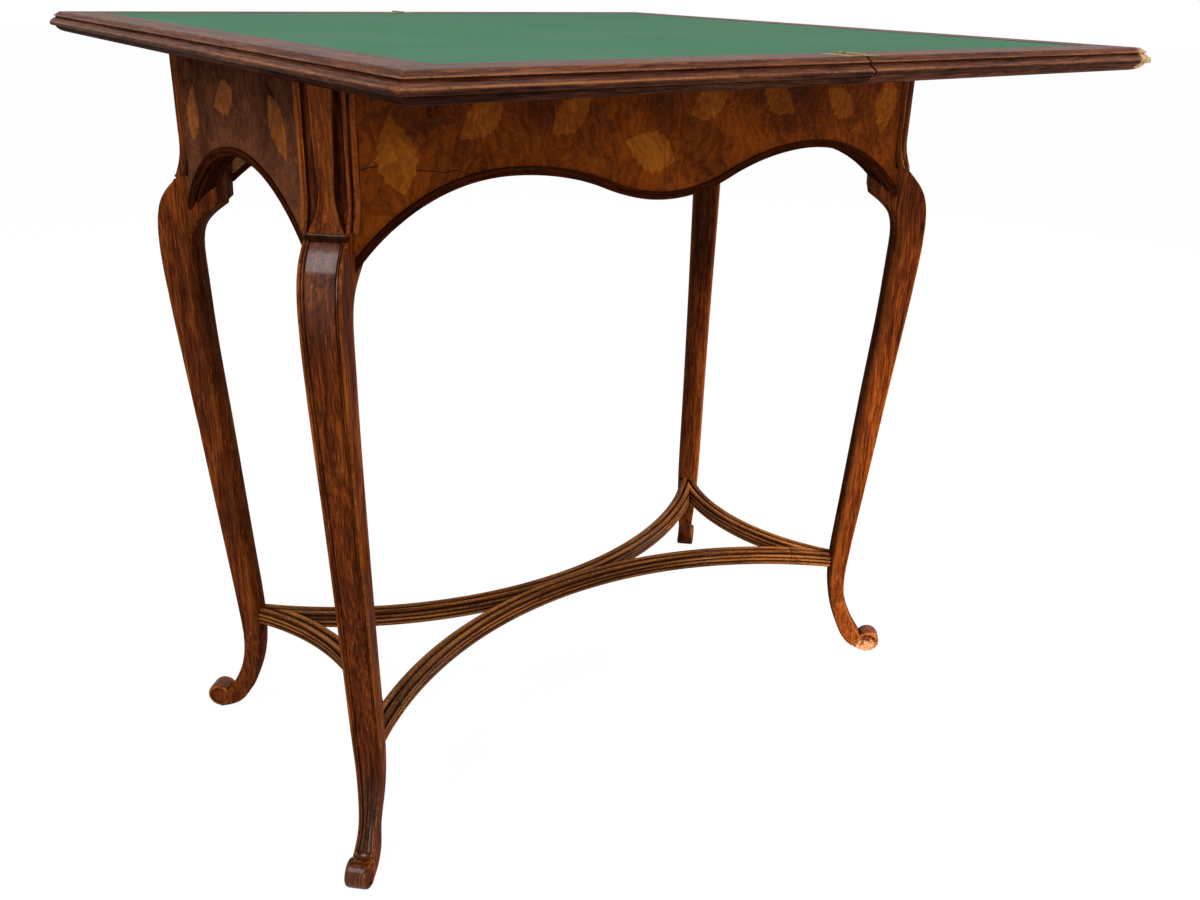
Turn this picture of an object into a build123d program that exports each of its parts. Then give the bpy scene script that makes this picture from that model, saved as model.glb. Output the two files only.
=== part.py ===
from build123d import *
import math
import os

# Games table with a turning, fold-over top on four cabriole legs.
# Origin on the floor below the middle of the frame, +X to the right along the front, +Y to the back.
# The top is drawn opened out: the fixed leaf left of the seam, the folding leaf right of it.

# Overall sizes
table_height = 750.0
leaf_width = 393.0
leaf_length = 774.0
leaf_thickness = 20.0
running_gap = 0.3
cut_overrun = 20.0

# Top: border, moulded edge and baize
border_width = 46.0
baize_thickness = 1.3
seam_gap = 0.3
edge_top_share = (0.51, 0.0)
edge_bead_mid_share = (0.408, -0.052)
edge_bead_end_share = (0.37, -0.16)
edge_quirk_share = (0.41, -0.22)
edge_slope_end_share = (0.08, -0.37)
edge_nose_mid_share = (0.0, -0.515)
edge_nose_end_share = (0.08, -0.66)
edge_step_share = (0.315, -0.71)
edge_ovolo_mid_share = (0.485, -0.917)
edge_foot_share = (0.74, -1.0)

# Apron: how far the closed top overhangs it, rails, veneer, the shaped edge and the bead under it
end_overhang = 42.0
front_overhang = 31.5
veneer_thickness = 1.5
rail_thickness = 20.0
lobe_drop = 112.1
front_arch_drop = 77.2
front_arch_place_share = 0.5217
front_arch_inner_share = 0.623
front_arch_outer_rise = 60.8
side_arch_drop = 72.7
side_arch_rise = 65.8
bead_height = 7.5
bead_proud = 2.0
bead_front_width = 5.0
bead_groove_width = 2.0
bead_groove_depth = 2.2

# Inlaid leaves: width as a share of the length, saw teeth, then for each one its place along the half
# span and up the apron, its angle, and its length as a share of the apron's depth
inlay_width_share = 0.613
inlay_teeth = 7
inlay_tooth_share = 0.82
inlay_belly_power = 0.85
front_inlay_places_share = (
    (-0.88, 0.46, 100, 0.553), (-0.64, 0.66, 215, 0.442), (-0.36, 0.66, 35, 0.44), (-0.09, 0.34, 160, 0.553),
    (0.13, 0.68, 20, 0.442), (0.41, 0.67, 330, 0.44), (0.68, 0.62, 145, 0.43), (0.90, 0.56, 262, 0.525),
)
side_inlay_places_share = ((-0.74, 0.50, 75, 0.47), (-0.16, 0.68, 200, 0.442), (0.66, 0.58, 300, 0.49))

# Legs: sizes, then outlines as shares of the sweep, the half width and the knee height
leg_half_width = 18.0
leg_sweep = 100.0
knee_drop = 115.7
block_back_share = -0.57
block_front_share = -0.15
shelf_share = ((-0.15, 1.008), (-0.08, 1.003))
knee_outer_share = (
    (-0.055, 0.996), (0.12, 0.963), (0.195, 0.912), (0.185, 0.834), (0.052, 0.604), (-0.09, 0.365),
    (-0.175, 0.220), (-0.178, 0.138), (-0.09, 0.085),
)
knee_inner_share = (
    (-0.04, 0.013), (-0.22, 0.055), (-0.35, 0.114), (-0.41, 0.195), (-0.41, 0.285), (-0.36, 0.438),
    (-0.29, 0.599), (-0.22, 0.740), (-0.19, 0.850), (-0.24, 0.917),
)
ear_share = ((-0.45, 0.953), (-0.46, 0.963), (-0.57, 0.977))
leg_width_share = (
    (0.61, 0.030), (0.50, 0.060), (0.56, 0.098), (0.735, 0.171), (0.81, 0.326), (0.86, 0.604), (0.98, 0.888),
)
foot_width_share = 0.61
scroll_radius = 14.0
scroll_place_share = 0.20
scroll_join_degrees = 145.0
foot_flat = 0.4

# Legs: raised band, ribs and the sunk panel on the front
band_rise = 5.0
band_top_share = 0.55
band_waist_share = 0.36
band_foot_share = 0.94
band_waist_drop = 84.7
band_flare_mid_share = (0.50, 0.44)
rib_width = 2.6
rib_rise = 2.0
panel_depth = 1.8
panel_rib_width = 5.0
panel_top_drop = 10.0
panel_bottom = 46.0

# Stretchers: reeded bars bent to arcs
stretcher_width = 20.0
stretcher_height = 18.0
stretcher_underside = 116.0
long_stretcher_lap = 4.0
short_stretcher_bow = 37.2
mitre_inset_x = 28.8
mitre_inset_y = 29.1
seat_overlap = 6.0
reed_share = 0.07
reed_count = 3

# Pivot: the fixed leaf turns on a pin in the cross rail
pivot_pin_radius = 6.0
pivot_running_clearance = 0.08
pivot_plate_side = 60.0
pivot_plate_thickness = 3.0
pivot_screw_inset = 10.0
pivot_pin_tail = 4.0
cross_rail_height = 24.0
washer_radius = 15.0
washer_thickness = 2.5
washer_clearance = 0.2
nut_half_width = 9.5
nut_height = 9.0
stop_height = 16.0
stop_near = 26.0
stop_length = 35.0
stop_thickness = 19.65
stop_screw_inset = 9.0

# Card well beside the cross rail
well_drop = 61.7
well_floor_thickness = 6.0
well_lining_thickness = 1.0
well_divider_thickness = 8.0
divider_clearance = 2.0
bearer_width = 12.0
bearer_height = 8.0

# Hinges let into the border at both ends of the seam
hinge_length = 30.0
hinge_margin = 3.0
hinge_plate_width = 18.0
hinge_plate_thickness = 1.5
knuckle_radius = 2.2
knuckle_clearance = 0.3
hinge_pin_radius = 1.1
hinge_running_clearance = 0.08
hinge_screw_place = 11.0
hinge_screw_spread = 9.0

# Screws: head and shank radii, shank lengths and the driver slot
small_screw = (2.6, 1.3, 10.0)
large_screw = (4.4, 2.2, 13.0)
screw_head_share = 0.55
slot_width_share = 0.24
slot_depth_share = 0.16

# Sizes that follow from the ones above
leaf_underside = table_height - leaf_thickness
frame_top = leaf_underside - running_gap
half_length = leaf_length / 2
apron_half_length = half_length - end_overhang
apron_half_depth = leaf_width / 2 - front_overhang
lobe_height = frame_top - lobe_drop
front_arch_height = frame_top - front_arch_drop
front_arch_place = front_arch_place_share * apron_half_length
side_arch_height = frame_top - side_arch_drop
knee_height = frame_top - knee_drop
band_waist_height = frame_top - band_waist_drop
panel_top = knee_height - panel_top_drop
well_floor_top = frame_top - well_drop
rail_outer_y = apron_half_depth - veneer_thickness
rail_inner_y = rail_outer_y - rail_thickness
rail_outer_x = apron_half_length - veneer_thickness
rail_inner_x = rail_outer_x - rail_thickness
apron_difference = apron_half_length - apron_half_depth
leg_side_reach = leg_half_width * math.sqrt(2)
pivot_x = -leaf_width / 4
pivot_y = leaf_width / 4
fold_axis_height = table_height + running_gap / 2
board_half_length = half_length - border_width
board_top = table_height - baize_thickness
cross_rail_underside = frame_top - cross_rail_height
cross_rail_half_width = rail_inner_y - pivot_y - stop_thickness - 2 * running_gap
hinge_inset = border_width - hinge_margin - hinge_length / 2


def prism(points, low, high):
    """Upright prism over a plan polygon."""
    face = Pos(0, 0, low) * make_face(Polyline(*points, close=True))
    return extrude(face, amount=high - low, dir=(0, 0, 1))


def box_between(low, high):
    """Box given by its lowest and highest corners."""
    size = [h - l for l, h in zip(low, high)]
    centre = [(h + l) / 2 for l, h in zip(low, high)]
    return Pos(*centre) * Box(*size)


def screw(sizes):
    """Slotted countersunk screw, head up, with the top of its head at the origin."""
    head_radius, shank_radius, shank_length = sizes
    head_height = head_radius * screw_head_share
    body = Pos(0, 0, -head_height / 2) * Cone(shank_radius, head_radius, head_height)
    body += Pos(0, 0, -head_height - shank_length / 2) * Cylinder(shank_radius, shank_length)
    slot_depth = head_radius * slot_depth_share
    slot = Box(head_radius * 3, head_radius * slot_width_share, slot_depth * 2)
    return body - slot


def blank(sizes):
    """The space that a screw fills, without its slot."""
    head_radius, shank_radius, shank_length = sizes
    head_height = head_radius * screw_head_share
    body = Pos(0, 0, -head_height / 2) * Cone(shank_radius, head_radius, head_height)
    return body + Pos(0, 0, -head_height - shank_length / 2) * Cylinder(shank_radius, shank_length)


def radius_of_rise(half_chord, rise):
    """Radius of the arc that rises by this much over half a chord."""
    return (half_chord**2 + rise**2) / (2 * rise)


def scaled(share, size):
    """A point given as shares of one size."""
    return (share[0] * size, share[1] * size)


# Legs
def leg_point(share):
    """A point of the leg's side view: outward reach, height."""
    return (share[0] * leg_sweep, share[1] * knee_height)


def leg_side_face(shift):
    """Side view of the leg in the XZ plane, moved inward by a shift."""
    scroll_x = scroll_place_share * leg_sweep
    scroll_z = scroll_radius - foot_flat
    join = math.radians(scroll_join_degrees)
    half_join = join / 2 - math.pi / 4
    scroll_start, scroll_mid, scroll_end = [
        (scroll_x + scroll_radius * math.cos(angle), scroll_z + scroll_radius * math.sin(angle))
        for angle in (join, half_join, -math.pi / 2)
    ]
    block_front = block_front_share * leg_sweep
    block_back = block_back_share * leg_sweep
    outer = [leg_point(share) for share in knee_outer_share] + [scroll_start]
    inner = [scroll_end] + [leg_point(share) for share in knee_inner_share] + [leg_point(ear_share[0])]
    top = [leg_point(ear_share[0]), leg_point(ear_share[1]), leg_point(ear_share[2])]
    top += [(block_back, frame_top), (block_front, frame_top)]
    top += [leg_point(share) for share in shelf_share] + [outer[0]]
    outline = Spline(*outer)
    outline += ThreePointArc(scroll_start, scroll_mid, scroll_end)
    outline += Spline(*inner)
    outline += Polyline(*top)
    return make_face(Plane.XZ * Pos(-shift, 0) * outline)


def leg_width_points(inset):
    """Half width of the leg at several heights, less an inset."""
    return [(share[0] * leg_half_width - inset, share[1] * knee_height) for share in leg_width_share]


def leg_front_solid(inset, low, high):
    """Block with the leg's outline as seen from the front, cut off below and above."""
    points = leg_width_points(inset)
    foot = (foot_width_share * leg_half_width - inset, 0)
    shoulder = (leg_half_width - inset, knee_height)
    corner = (leg_half_width - inset, frame_top)
    right = Spline(foot, *points, shoulder, tangents=((0, 1), (0, 1)))
    right += Line(shoulder, corner)
    left = mirror(right, about=Plane.YZ)
    outline = right + left + Line(corner, (-corner[0], corner[1])) + Line(foot, (-foot[0], 0))
    face = make_face(Plane.YZ * outline)
    start = block_back_share * leg_sweep - cut_overrun
    solid = Pos(start, 0, 0) * extrude(face, amount=2 * leg_sweep, dir=(1, 0, 0))
    reach = 3 * leg_sweep
    return solid & box_between((-reach, -reach, low), (reach, reach, high))


def band_solid():
    """Raised band on the block: tapers downward, then flares out to the shelf."""
    top = (band_top_share * leg_half_width, frame_top)
    waist = (band_waist_share * leg_half_width, band_waist_height)
    bottom_height = shelf_share[0][1] * knee_height
    bottom = (band_foot_share * leg_half_width, bottom_height)
    drop = band_waist_height - bottom_height
    middle = (band_flare_mid_share[0] * leg_half_width, bottom_height + band_flare_mid_share[1] * drop)
    right = Line(top, waist) + ThreePointArc(waist, middle, bottom)
    left = mirror(right, about=Plane.YZ)
    outline = right + left + Line(top, (-top[0], top[1])) + Line(bottom, (-bottom[0], bottom[1]))
    start = block_front_share * leg_sweep - band_rise
    face = make_face(Plane.YZ * outline)
    return Pos(start, 0, 0) * extrude(face, amount=2 * band_rise, dir=(1, 0, 0))


def rib_solids():
    """The two thin ribs along the outer edges of the block."""
    start = block_front_share * leg_sweep
    low = shelf_share[0][1] * knee_height
    right = box_between(
        (start - rib_rise, leg_half_width - rib_width, low), (start + rib_rise, leg_half_width, frame_top)
    )
    return right + mirror(right, about=Plane.XZ)


def build_leg():
    """One leg, reaching outward along +X from the corner of the apron."""
    thick = 2 * leg_half_width
    leg = extrude(leg_side_face(0), amount=thick, both=True)
    leg = leg & leg_front_solid(0, 0, table_height)
    sunk = extrude(leg_side_face(panel_depth), amount=thick, both=True)
    panel = leg_front_solid(panel_rib_width, panel_bottom, panel_top) - sunk
    return leg - panel + band_solid() + rib_solids()


def leg_place(side_x, side_y):
    """Where a leg stands: at a corner of the apron, turned outward."""
    angle = math.degrees(math.atan2(side_y, side_x))
    return Pos(side_x * apron_half_length, side_y * apron_half_depth, 0) * Rot(0, 0, angle)


# Apron rails, veneers, inlays and beads
def front_edge(drop):
    """Shaped lower edge of the front rail from left to right, lowered by a drop at right angles."""
    sum_of_radii = radius_of_rise(front_arch_place, front_arch_height - lobe_height)
    inner = front_arch_inner_share * sum_of_radii
    lobe_radius = sum_of_radii - inner + drop
    lobe_centre = lobe_height + sum_of_radii - inner
    inner_centre = front_arch_height - inner
    flow_x = front_arch_place - (inner - drop) * front_arch_place / sum_of_radii
    flow_z = inner_centre + (inner - drop) * (lobe_centre - inner_centre) / sum_of_radii
    peak = (front_arch_place, front_arch_height - drop)
    end_x = rail_end_x(apron_half_depth + bead_proud)
    outer_radius = radius_of_rise(end_x - front_arch_place, front_arch_outer_rise)
    outer = outer_radius - drop
    outer_centre = front_arch_height - outer_radius
    end = (end_x, outer_centre + math.sqrt(outer**2 - (end_x - front_arch_place) ** 2))
    mid_angle = math.atan2(end[1] - outer_centre, end[0] - front_arch_place) / 2 + math.pi / 4
    outer_mid = (
        front_arch_place + outer * math.cos(mid_angle), outer_centre + outer * math.sin(mid_angle)
    )
    mid_flow = math.atan2(flow_z - inner_centre, flow_x - front_arch_place) / 2 + math.pi / 4
    inner_mid = (
        front_arch_place + (inner - drop) * math.cos(mid_flow),
        inner_centre + (inner - drop) * math.sin(mid_flow),
    )
    lobe_bottom = (0, lobe_centre - lobe_radius)
    right = ThreePointArc((flow_x, flow_z), inner_mid, peak) + ThreePointArc(peak, outer_mid, end)
    lobe = ThreePointArc((-flow_x, flow_z), lobe_bottom, (flow_x, flow_z))
    return mirror(right, about=Plane.YZ) + lobe + right, end


def side_edge(drop):
    """Arched lower edge of a side rail, lowered by a drop at right angles."""
    end_y = rail_end_y(apron_half_length + bead_proud)
    arch_radius = radius_of_rise(end_y, side_arch_rise)
    radius = arch_radius - drop
    centre = side_arch_height - arch_radius
    end = (end_y, centre + math.sqrt(radius**2 - end_y**2))
    return ThreePointArc((-end[0], end[1]), (0, centre + radius), end), end


def rail_end_x(depth):
    """Half length of a front piece at a depth, where it meets the side of the leg."""
    return apron_difference + depth - leg_side_reach


def rail_end_y(reach):
    """Half length of a side piece at a reach, where it meets the side of the leg."""
    return reach - apron_difference - leg_side_reach


def front_band(edge_function, upper_drop, lower_drop, outer, inner, end_function):
    """A piece along the apron between two lowered edges and two depths, mitred to the legs."""
    lower, lower_end = edge_function(lower_drop)
    if upper_drop is None:
        upper_end = (lower_end[0], frame_top)
        upper = Line((-upper_end[0], frame_top), upper_end)
    else:
        upper, upper_end = edge_function(upper_drop)
    ends = Line(lower_end, upper_end) + Line((-lower_end[0], lower_end[1]), (-upper_end[0], upper_end[1]))
    face = make_face(Plane.XZ * (lower + upper + ends))
    solid = Pos(0, -inner, 0) * extrude(face, amount=outer - inner, dir=(0, -1, 0))
    outer_end = end_function(outer)
    inner_end = end_function(inner)
    plan = ((-outer_end, -outer), (outer_end, -outer), (inner_end, -inner), (-inner_end, -inner))
    return solid & prism(plan, 0, table_height)


def bead(edge_function, face_depth, end_function):
    """Moulded bead under the shaped edge: a rounded nose, a groove and a flat soffit."""
    outer = face_depth + bead_proud
    nose_back = outer - bead_front_width
    groove_back = nose_back - bead_groove_width
    inner = face_depth - veneer_thickness - rail_thickness
    shallow = bead_height - bead_groove_depth
    nose = front_band(edge_function, 0, bead_height, outer, nose_back, end_function)
    groove = front_band(edge_function, 0, shallow, nose_back, groove_back, end_function)
    soffit = front_band(edge_function, 0, bead_height, groove_back, inner, end_function)
    return nose + groove + soffit


def inlay_face(length, width):
    """Outline of a pointed leaf with saw teeth, lying along +X from the origin."""
    steps = 2 * inlay_teeth
    upper = []
    for step in range(1, steps):
        share = step / steps
        spread = width / 2 * math.sin(math.pi * share**inlay_belly_power)
        if step % 2 == 0:
            spread = spread * inlay_tooth_share
        upper.append((length * share, spread))
    lower = [(x, -y) for x, y in reversed(upper)]
    return make_face(Polyline((0, 0), *upper, (length, 0), *lower, close=True))


def inlays(places, half_span, face_depth, low):
    """The leaves of one apron face as solids through the veneer's thickness."""
    group = []
    rise = frame_top - low
    for along, up, angle, length_share in places:
        length = length_share * lobe_drop
        shape = Rot(0, 0, angle) * Pos(-length / 2, 0) * inlay_face(length, inlay_width_share * length)
        shape = Plane.XZ * Pos(along * half_span, low + up * rise) * shape
        leaf = extrude(shape, amount=veneer_thickness, dir=(0, -1, 0))
        group.append(Pos(0, -face_depth + veneer_thickness, 0) * leaf)
    return group


def stretcher_arc(radius, half_angle):
    """Reeded bar bent round the Z axis at a radius, its middle on +X and ending at half an angle each way."""
    half = stretcher_width / 2
    low = stretcher_underside
    high = stretcher_underside + stretcher_height
    bulge = reed_share * stretcher_width
    inside = radius - half + bulge
    outside = radius + half - bulge
    outline = Line((inside, low), (outside, low))
    step = (high - low - bulge) / reed_count
    for index in range(reed_count):
        start = low + index * step
        middle = start + step / 2
        outline += ThreePointArc((outside, start), (outside + bulge, middle), (outside, start + step))
        outline += ThreePointArc((inside, start), (inside - bulge, middle), (inside, start + step))
    shoulder = high - bulge
    width = (outside - inside) / reed_count
    for index in range(reed_count):
        start = inside + index * width
        outline += ThreePointArc((start, shoulder), (start + width / 2, high), (start + width, shoulder))
    bar = revolve(make_face(Plane.XZ * outline), axis=Axis.Z, revolution_arc=2 * half_angle)
    return Rot(0, 0, -half_angle) * bar


def mitre_end():
    """Where the middles of two stretchers meet in the leg: distances from the table's middle."""
    return apron_half_length - mitre_inset_x, apron_half_depth - mitre_inset_y


def stretcher_radii():
    """Radii of the long and short stretchers, from the leg to the middle of each bow."""
    end_x, end_y = mitre_end()
    long_rise = end_y - stretcher_width / 2 + long_stretcher_lap
    return radius_of_rise(end_x, long_rise), radius_of_rise(end_y, short_stretcher_bow)


def mitre_tip():
    """Where the line that halves the angle between two stretchers at the leg crosses the X axis."""
    end_x, end_y = mitre_end()
    long_radius, short_radius = stretcher_radii()
    long_side = long_radius + stretcher_width / 2 - long_stretcher_lap - end_y
    short_side = short_radius - short_stretcher_bow
    run = long_side / long_radius + end_y / short_radius
    rise = end_x / long_radius + short_side / short_radius
    return end_x - end_y * run / rise


def long_stretcher(legs):
    """Front stretcher, bowed back to the middle of the table, flat where it meets its twin."""
    end_x, end_y = mitre_end()
    radius = stretcher_radii()[0]
    centre = radius + stretcher_width / 2 - long_stretcher_lap
    heel_x = end_x + seat_overlap
    heel_y = end_y + seat_overlap
    side = leg_half_width
    half_angle = math.degrees(math.atan2(heel_x + side, centre - heel_y))
    bar = Pos(0, -centre, 0) * Rot(0, 0, 90) * stretcher_arc(radius, half_angle)
    plan = (
        (-end_x, -end_y), (-heel_x, -heel_y), (-heel_x + side, -heel_y - side),
        (heel_x - side, -heel_y - side), (heel_x, -heel_y), (end_x, -end_y),
        (mitre_tip(), 0), (-mitre_tip(), 0),
    )
    return (bar & prism(plan, 0, table_height)) - legs[0] - legs[1]


def short_stretcher(legs):
    """Left stretcher, bowed inward, mitred to the long ones at the legs."""
    end_x, end_y = mitre_end()
    radius = stretcher_radii()[1]
    centre = end_x - short_stretcher_bow + radius
    heel_x = end_x + seat_overlap
    heel_y = end_y + seat_overlap
    side = leg_half_width
    half_angle = math.degrees(math.atan2(heel_y + side, centre - heel_x))
    bar = Pos(-centre, 0, 0) * stretcher_arc(radius, half_angle)
    plan = (
        (-end_x, -end_y), (-heel_x, -heel_y), (-heel_x - side, -heel_y + side),
        (-heel_x - side, heel_y - side), (-heel_x, heel_y), (-end_x, end_y), (-mitre_tip(), 0),
    )
    return (bar & prism(plan, 0, table_height)) - legs[0] - legs[1]


# Top: boards, mouldings and baize
def edge_section():
    """Section of the border with its moulded edge: inset from the outer bead, height below the top."""
    size = leaf_thickness
    top = scaled(edge_top_share, size)
    bead_end = scaled(edge_bead_end_share, size)
    slope_end = scaled(edge_slope_end_share, size)
    nose_end = scaled(edge_nose_end_share, size)
    step = scaled(edge_step_share, size)
    foot = scaled(edge_foot_share, size)
    outline = Line((border_width, 0), top)
    outline += ThreePointArc(top, scaled(edge_bead_mid_share, size), bead_end)
    outline += Polyline(bead_end, scaled(edge_quirk_share, size), slope_end)
    outline += ThreePointArc(slope_end, scaled(edge_nose_mid_share, size), nose_end)
    outline += Line(nose_end, step)
    outline += ThreePointArc(step, scaled(edge_ovolo_mid_share, size), foot)
    outline += Polyline(foot, (border_width, -size), (border_width, 0))
    return make_face(outline)


def end_moulding():
    """Border along the front end of the fixed leaf, mitred at the outer corner."""
    plane = Plane(origin=(-leaf_width, -half_length, table_height), x_dir=(0, 1, 0), z_dir=(1, 0, 0))
    strip = extrude(plane * edge_section(), amount=leaf_width - seam_gap / 2, dir=(1, 0, 0))
    inner = border_width + cut_overrun
    plan = (
        (-leaf_width - cut_overrun, -half_length - cut_overrun), (0, -half_length - cut_overrun),
        (0, -half_length + inner), (-leaf_width + inner, -half_length + inner),
    )
    return strip & prism(plan, 0, 2 * table_height)


def side_moulding():
    """Border along the outer side of the fixed leaf, mitred at both corners."""
    plane = Plane(origin=(-leaf_width, half_length, table_height), x_dir=(1, 0, 0), z_dir=(0, -1, 0))
    strip = extrude(plane * edge_section(), amount=leaf_length, dir=(0, -1, 0))
    inner = border_width + cut_overrun
    plan = (
        (-leaf_width - cut_overrun, -half_length - cut_overrun), (-leaf_width + inner, -half_length + inner),
        (-leaf_width + inner, half_length - inner), (-leaf_width - cut_overrun, half_length + cut_overrun),
    )
    return strip & prism(plan, 0, 2 * table_height)


def leaf_board():
    """Core of the fixed leaf inside its borders."""
    low = (-leaf_width + border_width, -board_half_length, leaf_underside)
    return box_between(low, (-seam_gap / 2, board_half_length, board_top))


def leaf_baize():
    """Baize on the core of the fixed leaf, from border to seam."""
    low = (-leaf_width + border_width, -board_half_length, board_top)
    return box_between(low, (-seam_gap / 2, board_half_length, table_height))


# Hinges
def hinge_place():
    """Middle of the front hinge on the fold axis."""
    return Pos(0, -half_length + hinge_inset, fold_axis_height)


def along_y(radius, length):
    """Cylinder along Y, centred at the origin."""
    return Rot(90, 0, 0) * Cylinder(radius, length)


def hinge_groove():
    """Room for the knuckles between the leaves."""
    radius = knuckle_radius + knuckle_clearance
    return hinge_place() * along_y(radius, hinge_length + 2 * knuckle_clearance)


def hinge_screw_places(side):
    """Screw heads of the front hinge plate on one side of the seam."""
    middle = -half_length + hinge_inset
    return [
        Pos(side * hinge_screw_place, middle + sign * hinge_screw_spread, table_height) for sign in (-1, 1)
    ]


def hinge_plate(side):
    """Front hinge plate: the fixed leaf's carries the outer knuckles, the folding leaf's the middle one."""
    middle = -half_length + hinge_inset
    low = table_height - hinge_plate_thickness
    clear = knuckle_radius + knuckle_clearance
    near, far = sorted((side * clear, side * hinge_plate_width))
    plate = box_between((near, middle - hinge_length / 2, low), (far, middle + hinge_length / 2, table_height))
    segment = hinge_length / 3
    length = segment - knuckle_clearance
    offsets = (-segment, segment) if side < 0 else (0,)
    for offset in offsets:
        start = middle + offset - length / 2
        web_near, web_far = sorted((0, side * clear))
        plate += box_between((web_near, start, low), (web_far, start + length, table_height))
        plate += Pos(0, start + length / 2, fold_axis_height) * along_y(knuckle_radius, length)
    bore = hinge_pin_radius if side < 0 else hinge_pin_radius + hinge_running_clearance
    plate -= hinge_place() * along_y(bore, 2 * hinge_length)
    for place in hinge_screw_places(side):
        plate -= place * blank(small_screw)
    return plate


def hinge_pocket(side):
    """Pocket in the border for a hinge plate, its screws and the knuckles."""
    middle = -half_length + hinge_inset
    low = table_height - hinge_plate_thickness
    near, far = sorted((0, side * hinge_plate_width))
    pocket = box_between(
        (near, middle - hinge_length / 2, low), (far, middle + hinge_length / 2, table_height + cut_overrun)
    )
    for place in hinge_screw_places(side):
        pocket += place * blank(small_screw)
    return pocket + hinge_groove()


# Pivot and stop
def pivot_screw_places():
    """Screw heads at the corners of the pivot plate, facing down."""
    reach = pivot_plate_side / 2 - pivot_screw_inset
    turn = Rot(180, 0, 0)
    return [
        Pos(pivot_x + i * reach, pivot_y + j * reach, leaf_underside) * turn for i in (-1, 1) for j in (-1, 1)
    ]


def pivot_plate():
    """Steel plate let into the fixed leaf, with the turning pin standing down from it."""
    half = pivot_plate_side / 2
    plate = box_between(
        (pivot_x - half, pivot_y - half, leaf_underside),
        (pivot_x + half, pivot_y + half, leaf_underside + pivot_plate_thickness),
    )
    bottom = washer_top - washer_thickness - nut_height - pivot_pin_tail
    length = leaf_underside - bottom
    plate += Pos(pivot_x, pivot_y, bottom + length / 2) * Cylinder(pivot_pin_radius, length)
    for place in pivot_screw_places():
        plate -= place * blank(large_screw)
    return plate


def stop_box():
    """Block under the fixed leaf that meets the cross rail when open and the back rail when closed."""
    low = (pivot_x + cross_rail_half_width + running_gap, pivot_y - stop_near - stop_length)
    high = (low[0] + stop_thickness, pivot_y - stop_near)
    return (*low, leaf_underside - stop_height), (*high, leaf_underside)


def stop_screw_places():
    """Two screws up through the stop block into the leaf."""
    low, high = stop_box()
    middle = (low[0] + high[0]) / 2
    ends = (low[1] + stop_screw_inset, high[1] - stop_screw_inset)
    return [Pos(middle, y, low[2]) * Rot(180, 0, 0) for y in ends]


washer_top = cross_rail_underside - running_gap
stop_screw = (large_screw[0], large_screw[1], large_screw[2] + stop_height - large_screw[0])
nodes = {}
corners = {
    "front_left": (-1, -1),
    "front_right": (1, -1),
    "back_right": (1, 1),
    "back_left": (-1, 1),
}

# Base: legs
leg = build_leg()
for corner, (side_x, side_y) in corners.items():
    nodes["leg_" + corner] = leg_place(side_x, side_y) * leg

# Base: rails, veneers, inlays and beads. The back repeats the front and the right repeats the left
half_turn = Rot(0, 0, 180)
front_rail = front_band(front_edge, None, 0, rail_outer_y, rail_inner_y, rail_end_x)
front_veneer = front_band(front_edge, None, 0, apron_half_depth, rail_outer_y, rail_end_x)
front_span = apron_half_length - leg_side_reach
front_inlays = inlays(front_inlay_places_share, front_span, apron_half_depth, lobe_height)
front_bead = bead(front_edge, apron_half_depth, rail_end_x)
quarter = Rot(0, 0, -90)
left_rail = quarter * front_band(side_edge, None, 0, rail_outer_x, rail_inner_x, rail_end_y)
left_veneer = quarter * front_band(side_edge, None, 0, apron_half_length, rail_outer_x, rail_end_y)
left_low = side_arch_height - (front_arch_height - lobe_height)
left_span = apron_half_depth - leg_side_reach
left_inlays = [
    quarter * piece for piece in inlays(side_inlay_places_share, left_span, apron_half_length, left_low)
]
left_bead = quarter * bead(side_edge, apron_half_length, rail_end_y)
front_inlays = [piece & front_veneer for piece in front_inlays]
left_inlays = [piece & left_veneer for piece in left_inlays]
for piece in front_inlays:
    front_veneer -= piece
for piece in left_inlays:
    left_veneer -= piece
sides = {
    "front": (front_rail, front_veneer, front_inlays, front_bead, Rot(0, 0, 0)),
    "back": (front_rail, front_veneer, front_inlays, front_bead, half_turn),
    "left": (left_rail, left_veneer, left_inlays, left_bead, Rot(0, 0, 0)),
    "right": (left_rail, left_veneer, left_inlays, left_bead, half_turn),
}
for side, (rail, veneer, leaves, strip, turn) in sides.items():
    nodes["rail_" + side] = turn * rail
    nodes["veneer_" + side] = turn * veneer
    nodes["inlay_" + side] = Compound([(turn * piece).solid() for piece in leaves])
    nodes["arch_bead_" + side] = turn * strip

# Base: stretchers
front_stretcher = long_stretcher((nodes["leg_front_left"], nodes["leg_front_right"]))
left_stretcher = short_stretcher((nodes["leg_front_left"], nodes["leg_back_left"]))
nodes["stretcher_front"] = front_stretcher
nodes["stretcher_back"] = half_turn * front_stretcher
nodes["stretcher_left"] = left_stretcher
nodes["stretcher_right"] = half_turn * left_stretcher

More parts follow.
